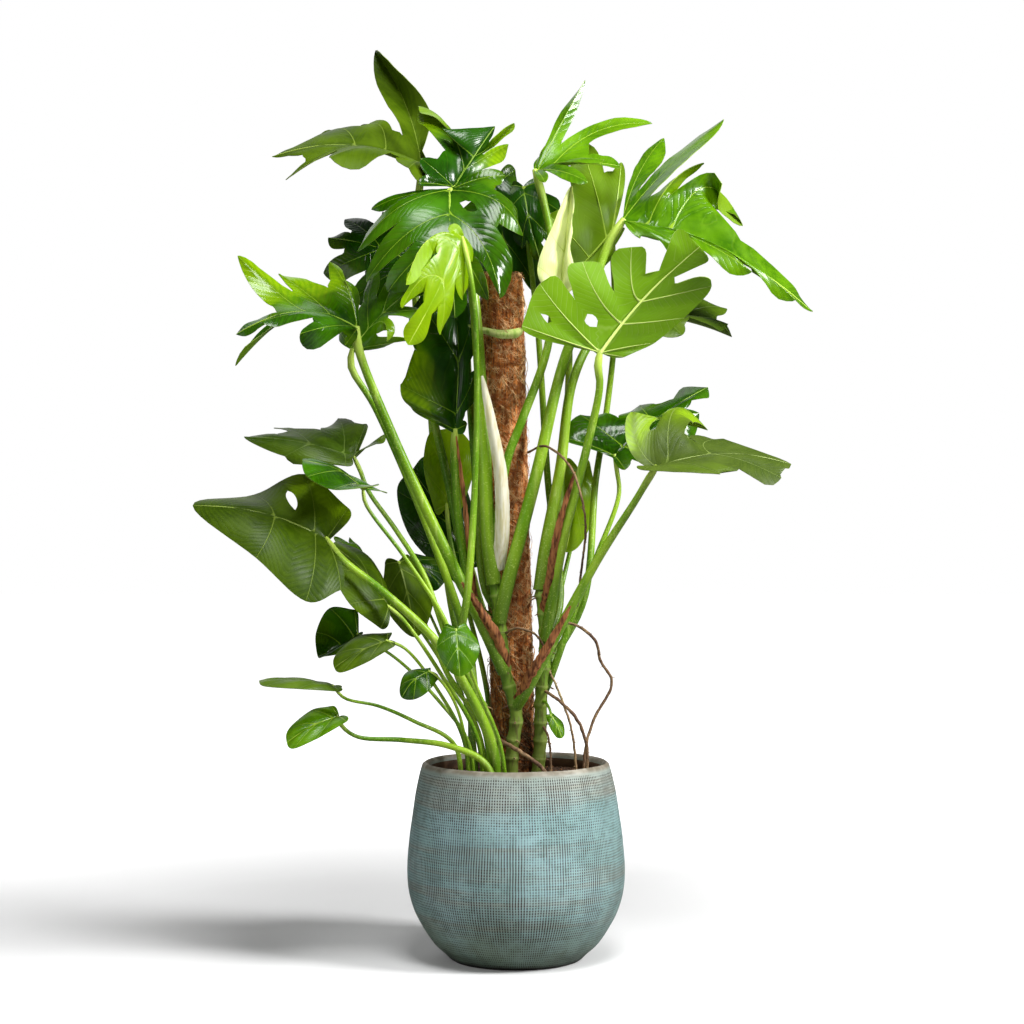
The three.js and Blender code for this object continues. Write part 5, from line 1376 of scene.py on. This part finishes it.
sheaths = {
    "pale_sheath": {"halfWidth": 11, "across": (1, 0, 0.2), "look": "pale", "points": [
        (-28, -58, 579), (-21, -70, 626), (-22, -74, 714), (-37, -74, 802), (-50, -68, 867)]},
    "dry_sheath_hanging": {"halfWidth": 4, "across": (1, 0, 0.2), "look": "dry", "points": [
        (-60, -16, 530), (-66, -22, 581), (-77, -24, 685), (-89, -30, 780)]},
    "dry_sheath_left": {"halfWidth": 8, "across": (1, 0, 0.8), "look": "dry", "points": [
        (-12, -60, 437), (-26, -82, 480), (-50, -94, 521), (-79, -100, 565)]},
    "dry_sheath_front": {"halfWidth": 7, "across": (1, 0, -0.8), "look": "dry", "points": [
        (0, -58, 384), (20, -86, 428), (52, -102, 481), (79, -112, 531)]},
    "dry_sheath_right": {"halfWidth": 6, "across": (1, 0, -0.2), "look": "dry", "points": [
        (40, -48, 516), (48, -72, 567), (61, -92, 641), (85, -106, 725)]},
    "pole_wrap_tip": {"halfWidth": 7, "across": (0, 0, 1), "look": "tip", "points": [
        (10, -14, 937), (3, -30, 933), (-24, -37, 931), (-48, -30, 937), (-71, -40, 944)]},
}
sheathLooks = {
    "pale": {"base": (246, 242, 222), "mark": (222, 214, 168), "glow": (240, 238, 206), "ragged": 0.25},
    "dry": {"base": (190, 124, 76), "mark": (78, 42, 22), "glow": (190, 112, 56), "ragged": 1.6},
    "tip": {"base": (226, 234, 150), "mark": (170, 204, 90), "glow": (214, 224, 120), "ragged": 0.1},
}
sheathMesh = {"rows": 60, "columns": 8, "fold": 0.55, "thickness": 0.7}


def sheathMaterial(name, look):
    n = Nodes("sheath_" + name)
    streak, patch = n.noise(300, 3, 0.6, (1, 1, 0.08)), n.noise(40, 3)
    colour = n.mix(n.remap(streak, 0.42, 0.66), look["base"], look["mark"])
    colour = n.mix(n.remap(patch, 0.55, 0.75, 0.0, 0.7), colour, look["mark"])
    height = n.plus(streak, patch)
    return n.finish(colour, n.spread(patch, 0.5, 0.75), n.bump(height, 0.5, 0.8), 0.3,
                    look["glow"], 0.25)


sheathMaterials = {name: sheathMaterial(name, look) for name, look in sheathLooks.items()}


def makeSheath(name, sheath):
    rng = random.Random(name)
    bm = bmesh.new()
    rows, columns = sheathMesh["rows"], sheathMesh["columns"]
    ragged = sheathLooks[sheath["look"]]["ragged"]
    path = smoothPath(sheath["points"], rows)
    tangents = np.gradient(path, axis=0)
    side = unit(np.array(sheath["across"], float))
    seed = rng.uniform(0, 90)
    grid = []
    for row in range(rows + 1):
        share = row / rows
        width = sheath["halfWidth"] * math.sqrt(1.02 - share ** 2)
        back = unit(np.cross(tangents[row], side))
        line = []
        for column in range(columns + 1):
            spread = 2 * column / columns - 1
            torn = 1 + ragged * 0.25 * noise.noise(Vector((share * 22, seed, math.copysign(3, spread))))
            crumple = noise.noise(Vector((share * 9, spread * 1.5, seed))) * ragged * 1.6
            point = path[row] + side * spread * width * torn
            point = point + back * (sheathMesh["fold"] * width * abs(spread) ** 1.6 + crumple * abs(spread))
            line.append(bm.verts.new(point * mm))
        grid.append(line)
    faces = [bm.faces.new((grid[r][c], grid[r][c + 1], grid[r + 1][c + 1], grid[r + 1][c]))
             for r in range(rows) for c in range(columns)]
    thicken(bm, faces, sheathMesh["thickness"], 0)
    piece = makeObject(name + "_thin", bm, [sheathMaterials[sheath["look"]]])
    place(piece, name)


for sheathName, sheath in sheaths.items():
    makeSheath(sheathName, sheath)
print("sheaths made")


# Aerial roots from the stems into the soil, with short side roots

roots = {
    "aerial_root_outer": (2.2, [(43, -42, 478), (73, -60, 504), (115, -60, 480), (125, -50, 447),
                                (142, -40, 415), (115, -40, 359), (103, -46, 318), (97, -50, 224)]),
    "aerial_root_inner": (2.4, [(37, -34, 406), (65, -66, 388), (88, -72, 365), (104, -64, 321),
                                (98, -60, 227)]),
    "aerial_root_front": (3.0, [(-29, -70, 335), (6, -98, 318), (40, -104, 292), (58, -96, 233)]),
    "aerial_root_pale": (1.8, [(43, -40, 445), (68, -44, 389), (85, -34, 329), (91, -28, 221)]),
    "aerial_root_across": (1.8, [(-20, -52, 486), (2, -74, 497), (26, -72, 489), (43, -42, 466)]),
    "aerial_root_upright": (1.8, [(36, -32, 358), (49, -52, 328), (50, -54, 225)]),
    "aerial_root_high": (1.8, [(18, -20, 756), (43, -56, 764), (81, -108, 728), (100, -114, 655),
                               (95, -80, 578), (91, -30, 527)]),
}


def makeRoot(name, radius, points):
    rng = random.Random(name)
    path = wobble(smoothPath(points, rootLook["steps"]), rootLook["wander"], 9, rng.uniform(0, 60))
    bm = bmesh.new()
    bumps = np.array([1 + rootLook["bumps"] * noise.noise(Vector(p) / 4) for p in path])
    tube(bm, path, radius * bumps, rootLook["sides"], 0)
    for _ in range(rootLook["sideRoots"]):
        row = rng.randrange(10, 80)
        out = unit(np.array([rng.uniform(-1, 1), rng.uniform(-1, 1), rng.uniform(-0.6, 0.4)]))
        reach = rng.uniform(*rootLook["sideReach"])
        line = [path[row], path[row] + out * (radius + reach * 0.5), path[row] + out * (radius + reach)]
        tube(bm, smoothPath(line, 3), np.linspace(0.7, 0.25, 4), 5, 0)
    material = rootPale if name == "aerial_root_pale" else rootBrown
    place(makeObject(name + "_bark", bm, [material]), name)


for rootName, (radius, points) in roots.items():
    makeRoot(rootName, radius, points)
print("roots made")


# Soil: coarse dark compost with bits of coir and bark

soil = {
    "radius": 132, "top": 271, "rise": 5, "depth": 34, "rows": 60, "steps": 120,
    "heaps": 3.2, "crumbs": 1.6,
    "chips": 900, "chipSize": (1.5, 5.5),
    "dark": (40, 27, 18), "brown": (84, 58, 38), "chip": (122, 84, 52),
}


def soilHeight(radius):
    return soil["top"] + soil["rise"] * (1 - (radius / soil["radius"]) ** 2)


def makeSoil():
    rng = random.Random(21)
    top, bottom = soil["top"], soil["top"] - soil["depth"]
    inner = [(0, bottom), (118, bottom), (133.5, top - 24), (131.5, top - 5)]
    surfaceLine = [(r, soilHeight(r)) for r in np.linspace(soil["radius"] - 2.2, 0, soil["rows"])]
    bm = spun(inner + surfaceLine, soil["steps"])
    for v in bm.verts:
        if v.co.z > (soil["top"] - 3) * mm:
            fade = min(1, (soil["radius"] * mm - math.hypot(v.co.x, v.co.y)) / (9 * mm))
            heap = noise.noise(v.co / 0.018) * soil["heaps"] + noise.noise(v.co / 0.005) * soil["crumbs"]
            v.co.z += heap * fade * mm
    for _ in range(soil["chips"]):
        angle, radius = rng.uniform(0, 2 * math.pi), soil["radius"] * math.sqrt(rng.uniform(0, 0.92))
        size = rng.uniform(*soil["chipSize"])
        height = soilHeight(radius) + rng.uniform(-0.3, 0.4) * size
        shape = Matrix.Diagonal((size, size * rng.uniform(0.4, 1), size * rng.uniform(0.25, 0.7), 1))
        angleOfChip = rng.uniform(0, 6.3)
        chipAxis = Vector((rng.uniform(-1, 1), rng.uniform(-1, 1), 2)).normalized()
        turn = Matrix.Rotation(angleOfChip, 4, chipAxis)
        spot = Vector((radius * math.cos(angle), radius * math.sin(angle), height))
        chip = bmesh.new()
        bmesh.ops.create_icosphere(chip, subdivisions=1, radius=0.5 * mm,
                                   matrix=Matrix.Translation(spot * mm) @ turn @ shape)
        darker = 1 + rng.randrange(2)
        for face in chip.faces:
            face.material_index = darker
        joinInto(bm, chip)
    n = Nodes("compost")
    crumbs, patch = n.noise(330, 4, 0.65), n.noise(50, 3)
    colour = n.mix(n.remap(crumbs, 0.42, 0.62), soil["dark"], soil["brown"])
    colour = n.mix(n.remap(patch, 0.55, 0.7, 0.0, 0.5), colour, soil["dark"])
    compost = n.finish(colour, n.spread(patch, 0.8, 0.95), n.bump(crumbs, 0.9, 2.5), 0.2)
    n = Nodes("bark_chip")
    grain = n.noise(240, 3)
    barkChip = n.finish(n.mix(n.remap(grain, 0.4, 0.62), soil["brown"], soil["chip"]),
                        n.spread(grain, 0.7, 0.9), n.bump(grain, 0.6, 1.0), 0.25)
    place(makeObject("soil_crumbled", bm, [compost, barkChip, compost], 180), "soil")


makeSoil()
print("soil made")
